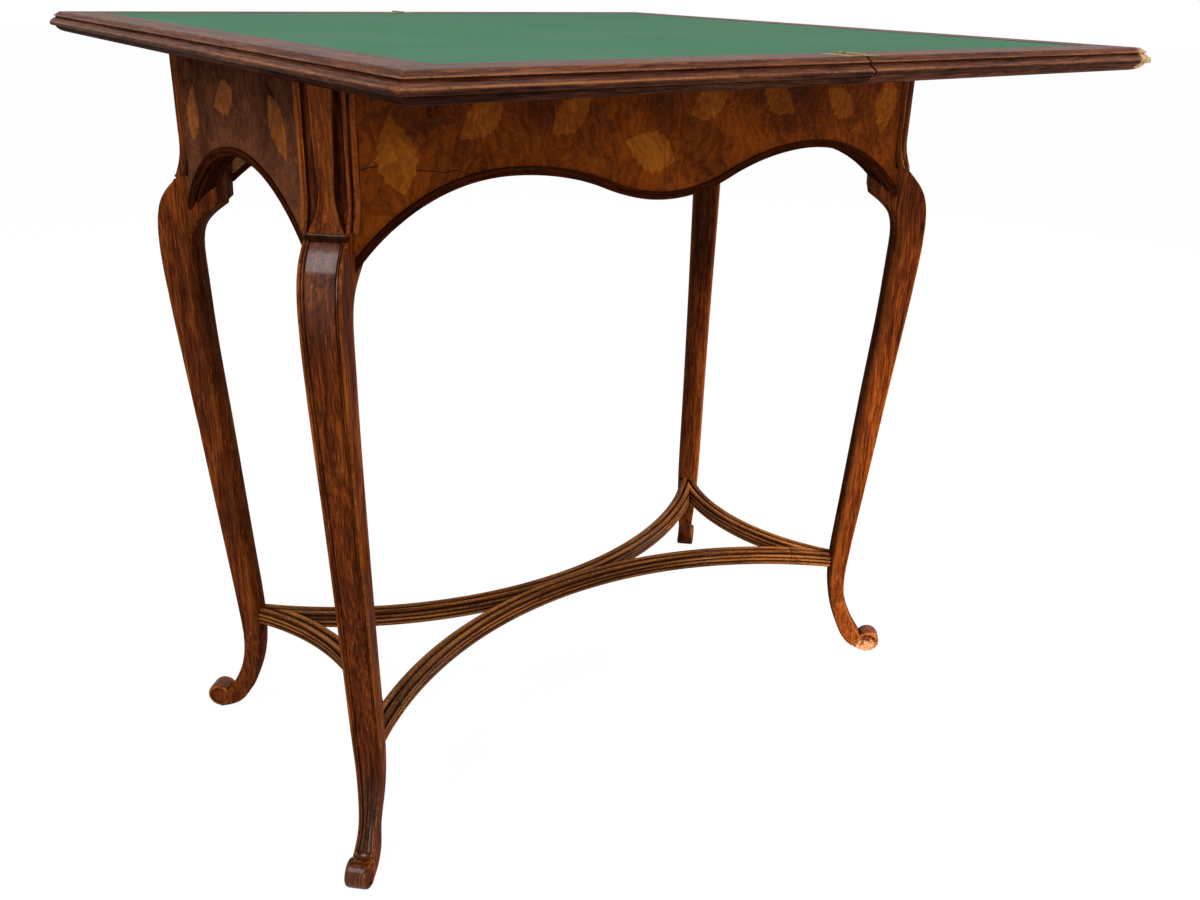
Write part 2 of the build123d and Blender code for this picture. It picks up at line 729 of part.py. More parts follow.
# Base: cross rail and card well
cross_rail = box_between(
    (pivot_x - cross_rail_half_width, -rail_inner_y, cross_rail_underside),
    (pivot_x + cross_rail_half_width, rail_inner_y, frame_top),
)
bore_radius = pivot_pin_radius + pivot_running_clearance
cross_rail -= Pos(pivot_x, pivot_y, frame_top) * Cylinder(bore_radius, 3 * cross_rail_height)
nodes["cross_rail"] = cross_rail
well_left = pivot_x + washer_radius + divider_clearance
well_floor_low = well_floor_top - well_floor_thickness
floor = box_between((well_left, -rail_inner_y, well_floor_low), (rail_inner_x, rail_inner_y, well_floor_top))
lining_left = well_left + well_divider_thickness
lining_top = well_floor_top + well_lining_thickness
lining = box_between((lining_left, -rail_inner_y, well_floor_top), (rail_inner_x, rail_inner_y, lining_top))
bearer = box_between(
    (well_left, -rail_inner_y, well_floor_low - bearer_height),
    (rail_inner_x, -rail_inner_y + bearer_width, well_floor_low),
)
bearers = [bearer, mirror(bearer, about=Plane.XZ)]
for corner in ("front_right", "back_right"):
    floor -= nodes["leg_" + corner]
    lining -= nodes["leg_" + corner]
    bearers = [piece - nodes["leg_" + corner] for piece in bearers]
nodes["well_floor"] = floor
nodes["well_lining"] = lining
nodes["well_bearers"] = Compound([piece.solid() for piece in bearers])
nodes["well_divider"] = box_between(
    (well_left, -rail_inner_y, well_floor_top), (lining_left, rail_inner_y, cross_rail_underside)
)

# Top: pivot, washer, nut and stop
nodes["pivot_plate"] = pivot_plate()
nodes["pivot_screws"] = Compound([(place * screw(large_screw)).solid() for place in pivot_screw_places()])
washer = Cylinder(washer_radius, washer_thickness) - Cylinder(pivot_pin_radius + washer_clearance, table_height)
nodes["pivot_washer"] = Pos(pivot_x, pivot_y, washer_top - washer_thickness / 2) * washer
nut_face = RegularPolygon(nut_half_width, 6, major_radius=False) - Circle(pivot_pin_radius)
nut_low = washer_top - washer_thickness - nut_height
nodes["pivot_nut"] = Pos(pivot_x, pivot_y, nut_low) * extrude(nut_face, amount=nut_height, dir=(0, 0, 1))
stop = box_between(*stop_box())
for place in stop_screw_places():
    stop -= place * blank(stop_screw)
nodes["stop_block"] = stop
nodes["stop_screws"] = Compound([(place * screw(stop_screw)).solid() for place in stop_screw_places()])

# Top: the fixed leaf
flip = Plane.XZ
board = leaf_board()
half_plate = pivot_plate_side / 2
board -= box_between(
    (pivot_x - half_plate, pivot_y - half_plate, leaf_underside),
    (pivot_x + half_plate, pivot_y + half_plate, leaf_underside + pivot_plate_thickness),
)
for place in pivot_screw_places():
    board -= place * blank(large_screw)
for place in stop_screw_places():
    board -= place * blank(stop_screw)
nodes["fixed_leaf_board"] = board
nodes["fixed_leaf_baize"] = leaf_baize()
front_border = end_moulding() - hinge_pocket(-1)
nodes["fixed_border_front"] = front_border
nodes["fixed_border_back"] = mirror(front_border, about=flip)
nodes["fixed_border_side"] = side_moulding()

# Top: the folding leaf mirrors the fixed one
across = Plane.YZ
nodes["folding_leaf_board"] = mirror(leaf_board(), about=across)
nodes["folding_leaf_baize"] = mirror(leaf_baize(), about=across)
folding_border = mirror(front_border, about=across)
nodes["folding_border_front"] = folding_border
nodes["folding_border_back"] = mirror(folding_border, about=flip)
nodes["folding_border_side"] = mirror(side_moulding(), about=across)

# Top: hinges
for name, side in (("fixed", -1), ("folding", 1)):
    plate = hinge_plate(side)
    nodes["hinge_plates_" + name] = Compound([plate.solid(), mirror(plate, about=flip).solid()])
    screws = [(place * screw(small_screw)).solid() for place in hinge_screw_places(side)]
    nodes["hinge_screws_" + name] = Compound(screws + [mirror(piece, about=flip) for piece in screws])
pin = hinge_place() * along_y(hinge_pin_radius, hinge_length)
nodes["hinge_pins"] = Compound([pin.solid(), mirror(pin, about=flip).solid()])

os.makedirs("parts", exist_ok=True)
for name, shape in nodes.items():
    export_step(shape, "parts/" + name + ".step")
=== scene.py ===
import logging
import math
from dataclasses import dataclass, field
from enum import Enum
from typing import Callable, Optional, Sequence, Union

import bmesh
import bpy
import numpy as np
from mathutils import Matrix, Vector, noise


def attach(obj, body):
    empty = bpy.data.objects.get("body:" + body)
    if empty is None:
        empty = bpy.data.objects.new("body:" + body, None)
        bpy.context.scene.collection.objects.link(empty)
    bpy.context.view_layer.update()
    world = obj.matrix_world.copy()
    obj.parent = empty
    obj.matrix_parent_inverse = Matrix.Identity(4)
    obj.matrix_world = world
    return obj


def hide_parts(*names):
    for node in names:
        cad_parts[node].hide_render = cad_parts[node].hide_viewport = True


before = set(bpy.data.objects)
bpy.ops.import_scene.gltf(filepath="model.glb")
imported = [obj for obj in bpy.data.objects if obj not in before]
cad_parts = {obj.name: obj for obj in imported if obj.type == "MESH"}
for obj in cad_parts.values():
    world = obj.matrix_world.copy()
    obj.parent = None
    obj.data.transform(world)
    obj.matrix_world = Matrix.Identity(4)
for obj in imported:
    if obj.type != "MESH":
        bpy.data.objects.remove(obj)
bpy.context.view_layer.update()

# Looks of a games table with a turning, fold-over top on four carved legs. Lengths are in metres.

MM = 0.001
LOG = logging.getLogger("games_table")

Colour = tuple[float, float, float, float]
Point = tuple[float, float, float]
Number = Union[int, float]
# How far across and how deep a carved point lies, how rubbed it is, and how dark from dirty build-up and
# painted shade
Carved = tuple[float, float, float, float]
# Where an edge runs, across and up, and which way a drop goes from it
Station = tuple[float, float, float, float]

# Sizes that several sub-assemblies share, in millimetres
APRON_HALF_LENGTH = 345.0
APRON_HALF_DEPTH = 165.0
LEG_HALF_WIDTH = 18.0
LEG_SIDE = LEG_HALF_WIDTH * math.sqrt(2)

HALF_TURN = Matrix.Rotation(math.pi, 4, "Z")
QUARTER_BACK = Matrix.Rotation(-math.pi / 2, 4, "Z")


def srgb(red: int, green: int, blue: int) -> Colour:
    """Turns a colour given as 0 to 255 screen values into the linear colour that a shader takes.

    Args:
        red, green, blue: the screen values.

    Returns:
        The linear colour with an alpha of 1.
    """
    linear = [((v / 255 + 0.055) / 1.055) ** 2.4 if v > 10 else v / 255 / 12.92 for v in (red, green, blue)]
    return (*linear, 1.0)


# Shader maths


class Value:
    """A shader's number, colour or vector, which plain expressions turn into more nodes."""

    def __init__(self, nodes: "Nodes", socket: bpy.types.NodeSocket) -> None:
        """Wraps an output socket of a node tree."""
        self.nodes = nodes
        self.socket = socket

    def _maths(self, operation: str, first: "Operand", second: "Operand") -> "Value":
        """Adds one Math node and returns its result."""
        return self.nodes.node("ShaderNodeMath", {"operation": operation}, {0: first, 1: second})

    def __add__(self, other: "Operand") -> "Value":
        """Adds a value or number."""
        return self._maths("ADD", self, other)

    def __radd__(self, other: "Operand") -> "Value":
        """Adds to a number."""
        return self._maths("ADD", other, self)

    def __sub__(self, other: "Operand") -> "Value":
        """Takes a value or number away."""
        return self._maths("SUBTRACT", self, other)

    def __rsub__(self, other: "Operand") -> "Value":
        """Is taken away from a number."""
        return self._maths("SUBTRACT", other, self)

    def __mul__(self, other: "Operand") -> "Value":
        """Multiplies by a value or number."""
        return self._maths("MULTIPLY", self, other)

    def __rmul__(self, other: "Operand") -> "Value":
        """Multiplies a number."""
        return self._maths("MULTIPLY", other, self)

    def power(self, exponent: Number) -> "Value":
        """Raises the value to a power."""
        return self._maths("POWER", self, exponent)

    def larger(self, other: "Operand") -> "Value":
        """The larger of two values."""
        return self._maths("MAXIMUM", self, other)

    def size(self) -> "Value":
        """The value without its sign."""
        return self._maths("ABSOLUTE", self, 0.0)

    def step(self, low: Number, high: Number) -> "Value":
        """Runs smoothly from 0 at the low value to 1 at the high one, which may be the smaller number.

        Args:
            low: the value that gives 0.
            high: the value that gives 1.

        Returns:
            The smooth share between them.
        """
        settings = {"interpolation_type": "SMOOTHSTEP"}
        if high < low:
            return 1 - self.nodes.node("ShaderNodeMapRange", settings, {0: self, 1: high, 2: low})
        return self.nodes.node("ShaderNodeMapRange", settings, {0: self, 1: low, 2: high})


Operand = Union[Value, int, float]


class Nodes:
    """A node tree that plain calls fill, with one output."""

    def __init__(self, tree: bpy.types.NodeTree, output: str) -> None:
        """Empties the tree and gives it its output.

        Args:
            tree: the tree of a material or of the world.
            output: the type of the output node.
        """
        self.tree = tree
        self.tree.nodes.clear()
        self.output = self.tree.nodes.new(output)

    def node(self, kind: str, settings: dict, inputs: dict, output: Union[int, str] = 0) -> Value:
        """Adds any node: its settings first, then the values or links of its sockets.

        Args:
            kind: the node's type.
            settings: properties by name; "stops" holds a ramp's places and colours.
            inputs: numbers, tuples or values by socket name or place.
            output: which output to return.

        Returns:
            The chosen output.
        """
        made = self.tree.nodes.new(kind)
        for name, value in settings.items():
            if name == "stops":
                self._stops(made.color_ramp.elements, value)
            else:
                setattr(made, name, value)
        for name, value in inputs.items():
            if isinstance(value, Value):
                self.tree.links.new(value.socket, made.inputs[name])
            else:
                made.inputs[name].default_value = value
        return Value(self, made.outputs[output])

    @staticmethod
    def _stops(elements: bpy.types.bpy_prop_collection, stops: Sequence[tuple[float, Colour]]) -> None:
        """Sets a ramp's places and colours.

        Args:
            elements: the ramp's own stops, to which missing ones are added.
            stops: the places and colours.
        """
        while len(elements) < len(stops):
            elements.new(1.0)
        for element, (place, colour) in zip(elements, stops):
            element.position = place
            element.color = colour

    def show(self, surface: Value) -> None:
        """Links a surface to the output, in place of an earlier one."""
        self.tree.links.new(surface.socket, self.output.inputs["Surface"])

    def seen(self) -> Value:
        """Tells rays that come straight from the camera, off gloss or through glass.

        Returns:
            1 for these, otherwise 0.
        """
        kinds = ("Is Camera Ray", "Is Glossy Ray", "Is Transmission Ray")
        camera, gloss, glass = (self.node("ShaderNodeLightPath", {}, {}, kind) for kind in kinds)
        return camera.larger(gloss).larger(glass)

    def blended(self, share: Value, first: Value, second: Value) -> Value:
        """Two surfaces, with a share of the second one."""
        return self.node("ShaderNodeMixShader", {}, {0: share, 1: first, 2: second})


class Shader(Nodes):
    """A material's node tree with one surface shader."""

    def __init__(self, name: str) -> None:
        """Makes a material with its surface shader linked to the output.

        Args:
            name: the material's name.
        """
        self.material = bpy.data.materials.new(name)
        self.material.use_nodes = True
        super().__init__(self.material.node_tree, "ShaderNodeOutputMaterial")
        self.surface = self.node("ShaderNodeBsdfPrincipled", {}, {})
        self.show(self.surface)

    def feed(self, socket: str, value: Union[Value, Number, Colour]) -> None:
        """Links or sets one socket of the surface shader.

        Args:
            socket: the socket's name.
            value: what varies over the surface, or a constant.
        """
        inputs = self.surface.socket.node.inputs
        if isinstance(value, Value):
            self.tree.links.new(value.socket, inputs[socket])
        else:
            inputs[socket].default_value = value

    def place(self) -> Value:
        """Where a point is in the object's own frame."""
        return self.node("ShaderNodeTexCoord", {}, {}, "Object")

    def unwrapped(self) -> Value:
        """Where a point is across and along the piece, from its own map."""
        return self.node("ShaderNodeUVMap", {"uv_map": "UVMap"}, {})

    def mark(self, name: str) -> Value:
        """A number painted on the mesh, 0 where the mesh has none."""
        return self.node("ShaderNodeAttribute", {"attribute_name": name}, {}, "Fac")

    def scaled(self, vector: Value, scale: Point, shift: float = 0.0) -> Value:
        """Stretches a vector by a scale for each axis and moves it along."""
        settings = {"operation": "MULTIPLY_ADD"}
        return self.node("ShaderNodeVectorMath", settings, {0: vector, 1: scale, 2: (shift, shift, shift)})

    def moved(self, vector: Value, other: Value) -> Value:
        """The sum of two vectors."""
        return self.node("ShaderNodeVectorMath", {"operation": "ADD"}, {0: vector, 1: other})

    def distance(self, vector: Value, point: Point) -> Value:
        """How far a place is from a point."""
        return self.node("ShaderNodeVectorMath", {"operation": "DISTANCE"}, {0: vector, 1: point}, "Value")

    def axis(self, vector: Value, name: str) -> Value:
        """One of a vector's three numbers, X, Y or Z."""
        return self.node("ShaderNodeSeparateXYZ", {}, {0: vector}, name)

    def cloud(self, vector: Value, scale: float, detail: float = 3.0, rough: float = 0.55) -> Value:
        """Soft noise, about 0.2 to 0.8."""
        inputs = {"Vector": vector, "Scale": scale, "Detail": detail, "Roughness": rough}
        return self.node("ShaderNodeTexNoise", {}, inputs)

    def pushed(self, vector: Value, scale: float, amount: float) -> Value:
        """Pushes a place about by noise.

        Args:
            vector: the place.
            scale: how close the pushes are.
            amount: how far they go, both ways together.

        Returns:
            The moved place.
        """
        inputs = {"Vector": vector, "Scale": scale, "Detail": 3.0}
        raw = self.node("ShaderNodeTexNoise", {}, inputs, "Color")
        return self.moved(vector, self.scaled(raw, (amount, amount, amount), -amount / 2))

    def cells(self, vector: Value, scale: float) -> Value:
        """Distance to the nearest of many scattered points."""
        return self.node("ShaderNodeTexVoronoi", {}, {"Vector": vector, "Scale": scale}, "Distance")

    def ramp(self, value: Value, stops: Sequence[tuple[float, Colour]]) -> Value:
        """A colour from a row of places and colours."""
        return self.node("ShaderNodeValToRGB", {"stops": stops}, {0: value})

    def mix(self, share: Operand, first: Union[Value, Colour], second: Union[Value, Colour]) -> Value:
        """Two colours, with a share of the second one."""
        return self.node("ShaderNodeMix", {"data_type": "RGBA"}, {0: share, 6: first, 7: second}, 2)

    def bump(self, height: Value, depth: float, strength: float = 1.0) -> None:
        """Feeds a height map to the surface's normal.

        Args:
            height: 0 to 1.
            depth: how deep 1 is, in metres.
            strength: how much of it shows.
        """
        inputs = {"Strength": strength, "Distance": depth, "Height": height}
        self.feed("Normal", self.node("ShaderNodeBump", {}, inputs))


# Finishes


class Grain(Enum):
    """Which way the wood's fibres run."""

    LENGTH = "x"
    DEPTH = "y"
    HEIGHT = "z"
    ALONG_PIECE = "piece"


FIBRE_RUNS = {
    Grain.LENGTH: (0.05, 1, 1), Grain.DEPTH: (1, 0.05, 1), Grain.HEIGHT: (1, 1, 0.05),
    Grain.ALONG_PIECE: (1, 0.05, 1),
}


@dataclass(frozen=True)
class Scuff:
    """A place where the finish is rubbed away: its middle, how far it reaches and how bare it is."""

    centre: Point
    reach: float
    bareness: float


@dataclass(frozen=True)
class Wood:
    """Polished timber: streaks, fibres, broad figure, patina, rubbed arrises with painted highlight, and
    dirty quirks with painted shade.
    """

    name: str
    dark: Colour
    middle: Colour
    light: Colour
    # Colour of rubbed arrises, and also the painted highlight on arrises and reed crowns.
    worn_and_highlight: Colour
    grain: Grain
    figure: float = 0.5
    gloss: float = 0.3
    coat: float = 0.06
    polish: float = 0.5
    shine: float = 0.0
    shift: float = 0.0
    scuffs: tuple[Scuff, ...] = ()
    bare: Colour = srgb(182, 146, 112)
    # Colour of dirty build-up and of painted shade in quirks, on back faces and on undersides.
    grime_and_shade: Colour = srgb(20, 9, 5)
    streak_scale: float = 1100.0
    fibre_scale: float = 420.0
    ribbon_scale: float = 90.0
    patina_scale: float = 9.0
    break_scale: float = 380.0
    patch_scale: float = 120.0
    ragged_scale: float = 260.0
    relief: float = 0.00025

    def material(self) -> bpy.types.Material:
        """Builds the finish as a material.

        Returns:
            The material.
        """
        shader = Shader(self.name)
        place = shader.unwrapped() if self.grain is Grain.ALONG_PIECE else shader.place()
        fibre_place = shader.scaled(shader.pushed(place, 7.0, 0.016), FIBRE_RUNS[self.grain], self.shift)
        streaks = shader.cloud(fibre_place, self.streak_scale, 3.0, 0.6)
        fibres = shader.cloud(fibre_place, self.fibre_scale, 3.0, 0.55)
        ribbons = shader.cloud(fibre_place, self.ribbon_scale, 3.0, 0.5)
        patina_place = shader.scaled(place, (1, 1, 1), self.shift)
        patina = shader.cloud(patina_place, self.patina_scale, 4.0, 0.6)
        tone = (streaks - 0.5) * 1.1 + (fibres - 0.5)
        tone = tone + (ribbons - 0.5) * (0.9 * self.figure) + (patina - 0.5) * 0.5 + 0.5
        colour = shader.ramp(tone, [(0.2, self.dark), (0.5, self.middle), (0.82, self.light)])
        colour = shader.mix(streaks.step(0.40, 0.30) * 0.5, colour, self.dark)
        broken = shader.cloud(place, self.break_scale, 3.0, 0.6)
        patches = shader.cloud(fibre_place, self.patch_scale, 4.0, 0.6) * 0.65 + broken * 0.35
        # Painted highlight: this mark brightens arrises and reed crowns where highlights fall, besides real
        # rubbing.
        rub_and_highlight = shader.mark("wear_and_highlight").power(1.3) * (patches.step(0.42, 0.62) * 0.8 + 0.1)
        colour = shader.mix(rub_and_highlight * 0.8, colour, self.worn_and_highlight)
        # Painted shade: this mark darkens quirks, back faces and undersides where shade falls, besides dirty
        # build-up.
        dirt_and_shade = shader.mark("grime_and_shade") * (patches.step(0.7, 0.3) * 0.3 + 0.7)
        colour = shader.mix(dirt_and_shade * 0.92, colour, self.grime_and_shade)
        rough = (1 - tone) * 0.1 + self.gloss + rub_and_highlight * 0.1 + dirt_and_shade * 0.15
        coat = (1 - rub_and_highlight * 0.6) * (1 - dirt_and_shade) * (shader.mark("polish") * self.polish + self.coat)
        for scuff in self.scuffs:
            bare = self._bare_patch(shader, place, scuff)
            chips = shader.ramp(broken, [(0.38, self.worn_and_highlight), (0.55, self.bare)])
            colour = shader.mix(bare, colour, chips)
            rough = rough + bare * 0.3
            coat = coat * (1 - bare)
        shader.feed("Base Color", colour)
        shader.feed("Roughness", rough)
        shader.feed("Coat Weight", coat)
        shader.feed("Coat Roughness", 0.14)
        shader.feed("Specular IOR Level", self.shine)
        shader.bump(fibres * 0.5 + streaks * 0.6 + patches * 0.3, self.relief)
        return shader.material

    def _bare_patch(self, shader: Shader, place: Value, scuff: Scuff) -> Value:
        """Where a scuff has rubbed through: ragged at its border.

        Args:
            shader: the wood's shader.
            place: where its pattern is read.
            scuff: the rubbed place.

        Returns:
            1 on bare wood, 0 outside.
        """
        ragged = shader.cloud(place, self.ragged_scale, 5.0, 0.75)
        near = shader.distance(shader.place(), scuff.centre) * (1 / scuff.reach)
        return (near + (ragged - 0.5) * 1.5).step(1.0, 0.72) * scuff.bareness


@dataclass(frozen=True)
class Burr:
    """Burr veneer: pushed-about clouds, swirled lines, small eyes, a hairline crack or two, and a painted
    shadow of the top that darkens it upward.
    """

    name: str
    dark: Colour
    middle: Colour
    light: Colour
    gloss: float = 0.3
    coat: float = 0.05
    shine: float = 0.0
    crack: Optional[Point] = None
    dirt_and_shade: Colour = srgb(14, 6, 3)
    # Heights over which the painted shadow of the top fades out downward.
    top_shadow_fade: tuple[float, float] = (0.735, 0.625)
    cloud_scale: float = 17.0
    speck_scale: float = 520.0
    eye_scale: float = 95.0
    rare_scale: float = 26.0
    streak_scale: float = 210.0
    relief: float = 0.00018

    def material(self) -> bpy.types.Material:
        """Builds the veneer as a material.

        Returns:
            The material.
        """
        shader = Shader(self.name)
        place = shader.place()
        pushed = shader.pushed(shader.pushed(place, 16.0, 0.06), 60.0, 0.02)
        clouds = shader.cloud(pushed, self.cloud_scale, 5.0, 0.6)
        swirls = shader.node("ShaderNodeTexWave", {}, {
            "Vector": pushed, "Scale": 30.0, "Distortion": 7.0, "Detail": 4.0, "Detail Scale": 1.6,
        }, 1)
        specks = shader.cloud(pushed, self.speck_scale, 4.0, 0.7)
        eyes = shader.cells(pushed, self.eye_scale).step(0.24, 0.06)
        rare = shader.cloud(place, self.rare_scale, 2.0).step(0.50, 0.62)
        streaks = shader.cloud(shader.scaled(pushed, (1, 1, 0.3)), self.streak_scale, 4.0, 0.6)
        # Painted shadow of the top: darker above these heights, paler below.
        low = shader.axis(place, "Z").step(*self.top_shadow_fade)
        tone = clouds * 0.72 + swirls * 0.08 + (specks - 0.5) * 0.3 + (streaks - 0.5) * 0.5
        tone = tone + low * 0.13 + 0.07
        colour = shader.ramp(tone, [(0.3, self.dark), (0.5, self.middle), (0.74, self.light)])
        colour = shader.mix(eyes * rare * 0.7, colour, self.dark)
        rough = (1 - tone) * 0.1 + self.gloss
        height = specks * 0.4 + streaks * 0.4
        if self.crack:
            split = self._split(shader, place, *self.crack)
            colour = shader.mix(split * 0.9, colour, self.dirt_and_shade)
            height = height - split * 1.5
        shader.feed("Base Color", colour)
        shader.feed("Roughness", rough)
        shader.feed("Coat Weight", self.coat)
        shader.feed("Coat Roughness", 0.12)
        shader.feed("Specular IOR Level", self.shine)
        shader.bump(height, self.relief)
        return shader.material

    @staticmethod
    def _split(shader: Shader, place: Value, low: float, high: float, height: float) -> Value:
        """A hairline split along the veneer.

        Args:
            shader: the veneer's shader.
            place: where its pattern is read.
            low: where the split starts along the apron.
            high: where it ends.
            height: how far up it lies.

        Returns:
            1 in the split, 0 outside.
        """
        run = shader.axis(place, "X")
        wander = (shader.cloud(place, 28.0, 2.0) - 0.5) * 0.012 + (run - low) * 0.1
        off = (shader.axis(place, "Z") + wander - height).size().step(0.0005, 0.0002)
        return off * run.step(low, low + 0.01) * run.step(high, high - 0.02)


@dataclass(frozen=True)
class Cloth:
    """Baize: a short felted nap with faint rubbed patches and a few pressed marks."""

    name: str
    dark: Colour
    light: Colour
    faded: Colour
    nap_scale: float = 1500.0
    tuft_scale: float = 520.0
    patch_scale: float = 7.0
    relief: float = 0.0005

    def material(self) -> bpy.types.Material:
        """Builds the cloth as a material.

        Returns:
            The material.
        """
        shader = Shader(self.name)
        place = shader.place()
        nap = shader.cloud(place, self.nap_scale, 3.0, 0.7)
        tufts = shader.cloud(shader.scaled(place, (1, 0.5, 1)), self.tuft_scale, 3.0, 0.6)
        patches = shader.cloud(place, self.patch_scale, 4.0, 0.6)
        tone = nap * 0.55 + tufts * 0.45
        colour = shader.ramp(tone, [(0.32, self.dark), (0.66, self.light)])
        colour = shader.mix(patches.step(0.42, 0.75) * 0.5, colour, self.faded)
        shader.feed("Base Color", colour)
        shader.feed("Roughness", nap * 0.12 + 0.84)
        shader.feed("Specular IOR Level", 0.0)
        shader.bump(tone, self.relief, 0.9)
        return shader.material


@dataclass(frozen=True)
class Metal:
    """Old metal: bright where it is handled, dull and stained elsewhere."""

    name: str
    bright: Colour
    stained: Colour
    rough: float
    stain: float
    stain_scale: float = 130.0
    scratch_scale: float = 1400.0
    relief: float = 0.0001

    def material(self) -> bpy.types.Material:
        """Builds the metal as a material.

        Returns:
            The material.
        """
        shader = Shader(self.name)
        place = shader.place()
        stains = shader.cloud(place, self.stain_scale, 5.0, 0.65)
        scratches = shader.cloud(shader.scaled(place, (1, 0.05, 1)), self.scratch_scale, 2.0)
        cover = stains.step(0.62 - self.stain * 0.3, 0.7 - self.stain * 0.2)
        shader.feed("Base Color", shader.mix(cover, self.bright, self.stained))
        shader.feed("Metallic", 1 - cover * 0.35)
        shader.feed("Roughness", cover * 0.3 + scratches * 0.12 + self.rough)
        shader.bump(stains * 0.5 + scratches * 0.3, self.relief)
        return shader.material


LEG_TONES = {
    "dark": srgb(38, 13, 3), "middle": srgb(86, 36, 8), "light": srgb(138, 68, 20),
    "worn_and_highlight": srgb(176, 98, 40),
}
EDGE_TONES = {
    "dark": srgb(46, 20, 11), "middle": srgb(92, 48, 30), "light": srgb(136, 80, 52),
    "worn_and_highlight": srgb(178, 116, 72),
}
BEAD_TONES = {
    "dark": srgb(20, 7, 3), "middle": srgb(42, 15, 6), "light": srgb(68, 28, 11),
    "worn_and_highlight": srgb(96, 46, 18),
}


def leg_wood(corner: str, scuff: Scuff, shift: float) -> Wood:
    """Stained beech of one leg, with its own grain and bare place."""
    return Wood("beech_stained_" + corner, grain=Grain.HEIGHT, figure=0.8, gloss=0.28, coat=0.07,
                shift=shift, scuffs=(scuff,), **LEG_TONES)


# Shaping


@dataclass
class Section:
    """One ring of a swept piece: its points in order, and for each one how rubbed it is with painted
    highlight, how dark from dirty build-up and painted shade, and how glossy.
    """

    points: list[Vector]
    wear_and_highlight: list[float]
    grime_and_shade: list[float]
    polish: list[float] = field(default_factory=list)


@dataclass(frozen=True)
class Mark:
    """One point of a moulding's outline: two offsets, how rubbed it is with painted highlight, and how dark
    from dirty build-up and painted shade.
    """

    across: float
    down: float
    wear_and_highlight: float = 0.0
    grime_and_shade: float = 0.0


class Curve:
    """A smooth line through chosen points, free at its ends."""

    def __init__(self, points: Sequence[tuple[float, float]], samples: int = 400) -> None:
        """Fits the line and samples it.

        Args:
            points: the points that it passes through.
            samples: how many places along it are kept.
        """
        knots = np.array(points, float)
        chord = np.concatenate([[0], np.cumsum(np.linalg.norm(np.diff(knots, axis=0), axis=1))])
        gap = np.diff(chord)
        count = len(knots)
        system = np.eye(count)
        right = np.zeros((count, knots.shape[1]))
        for row in range(1, count - 1):
            system[row, row - 1:row + 2] = gap[row - 1], 2 * (gap[row - 1] + gap[row]), gap[row]
            slope = (knots[row + 1] - knots[row]) / gap[row] - (knots[row] - knots[row - 1]) / gap[row - 1]
            right[row] = 6 * slope
        bend = np.linalg.solve(system, right)
        places = np.linspace(0, chord[-1], samples)
        span = np.clip(np.searchsorted(chord, places, side="right") - 1, 0, count - 2)
        length = gap[span][:, None]
        share = ((places - chord[span])[:, None]) / length
        first, last = 1 - share, share
        curved = (first**3 - first) * bend[span] + (last**3 - last) * bend[span + 1]
        self.line = first * knots[span] + last * knots[span + 1] + curved * length**2 / 6

    def across_at(self, height: float) -> float:
        """The first number of the line where its second number is a height."""
        order = np.argsort(self.line[:, 1])
        return float(np.interp(height, self.line[order, 1], self.line[order, 0]))


def sweep(sections: Sequence[Section]) -> bmesh.types.BMesh:
    """Carries a closed ring from section to section by extruding its edges, and closes both ends.

    Args:
        sections: the rings, all with as many points.

    Returns:
        A bmesh with a map that runs across and along the piece, in metres, and the marks for rubbing
        and painted highlight, dirty build-up and painted shade, and gloss.
    """
    mesh = bmesh.new()
    order = mesh.verts.layers.int.new("order")
    names = ("wear_and_highlight", "grime_and_shade", "polish", "along", "around")
    layers = {name: mesh.verts.layers.float.new(name) for name in names}
    count = len(sections[0].points)
    ring = [mesh.verts.new(point) for point in sections[0].points]
    edges = [mesh.edges.new((ring[place], ring[(place + 1) % count])) for place in range(count)]
    for place, vert in enumerate(ring):
        vert[order] = place
    travelled = 0.0
    previous = sections[0]
    for step, section in enumerate(sections):
        if step:
            grown = bmesh.ops.extrude_edge_only(mesh, edges=edges)["geom"]
            fresh = {item for item in grown if isinstance(item, bmesh.types.BMVert)}
            edges = [
                item for item in grown
                if isinstance(item, bmesh.types.BMEdge) and item.verts[0] in fresh and item.verts[1] in fresh
            ]
            ring = sorted(fresh, key=lambda vert: vert[order])
            middle = sum(section.points, Vector()) / count
            travelled += (middle - sum(previous.points, Vector()) / count).length
            previous = section
        around = 0.0
        for place, vert in enumerate(ring):
            vert.co = section.points[place]
            vert[layers["wear_and_highlight"]] = section.wear_and_highlight[place]
            vert[layers["grime_and_shade"]] = section.grime_and_shade[place]
            vert[layers["polish"]] = section.polish[place] if section.polish else 0.0
            vert[layers["along"]] = travelled
            vert[layers["around"]] = around
            around += (section.points[(place + 1) % count] - section.points[place]).length
    unwrap(mesh, order, layers["around"], layers["along"], count)
    bmesh.ops.holes_fill(mesh, edges=mesh.edges[:], sides=0)
    return mesh


SEAM_STEP = 2 * MM


def unwrap(mesh: bmesh.types.BMesh, order: bmesh.types.BMLayerItem, around: bmesh.types.BMLayerItem,
           along: bmesh.types.BMLayerItem, count: int) -> None:
    """Gives each face its place across and along the piece, closing the ring at its seam.

    Args:
        mesh: the swept piece.
        order: the layer with each point's place in its ring.
        around: the layer with its distance round the ring.
        along: the layer with its distance along the piece.
        count: how many points a ring has.
    """
    cover = mesh.loops.layers.uv.new("UVMap")
    for face in mesh.faces:
        places = [loop.vert[order] for loop in face.loops]
        seam = 0 in places and count - 1 in places
        widest = max(loop.vert[around] for loop in face.loops)
        for loop in face.loops:
            across = loop.vert[around]
            if seam and loop.vert[order] == 0:
                across = widest + SEAM_STEP
            loop[cover].uv = (across, loop.vert[along])


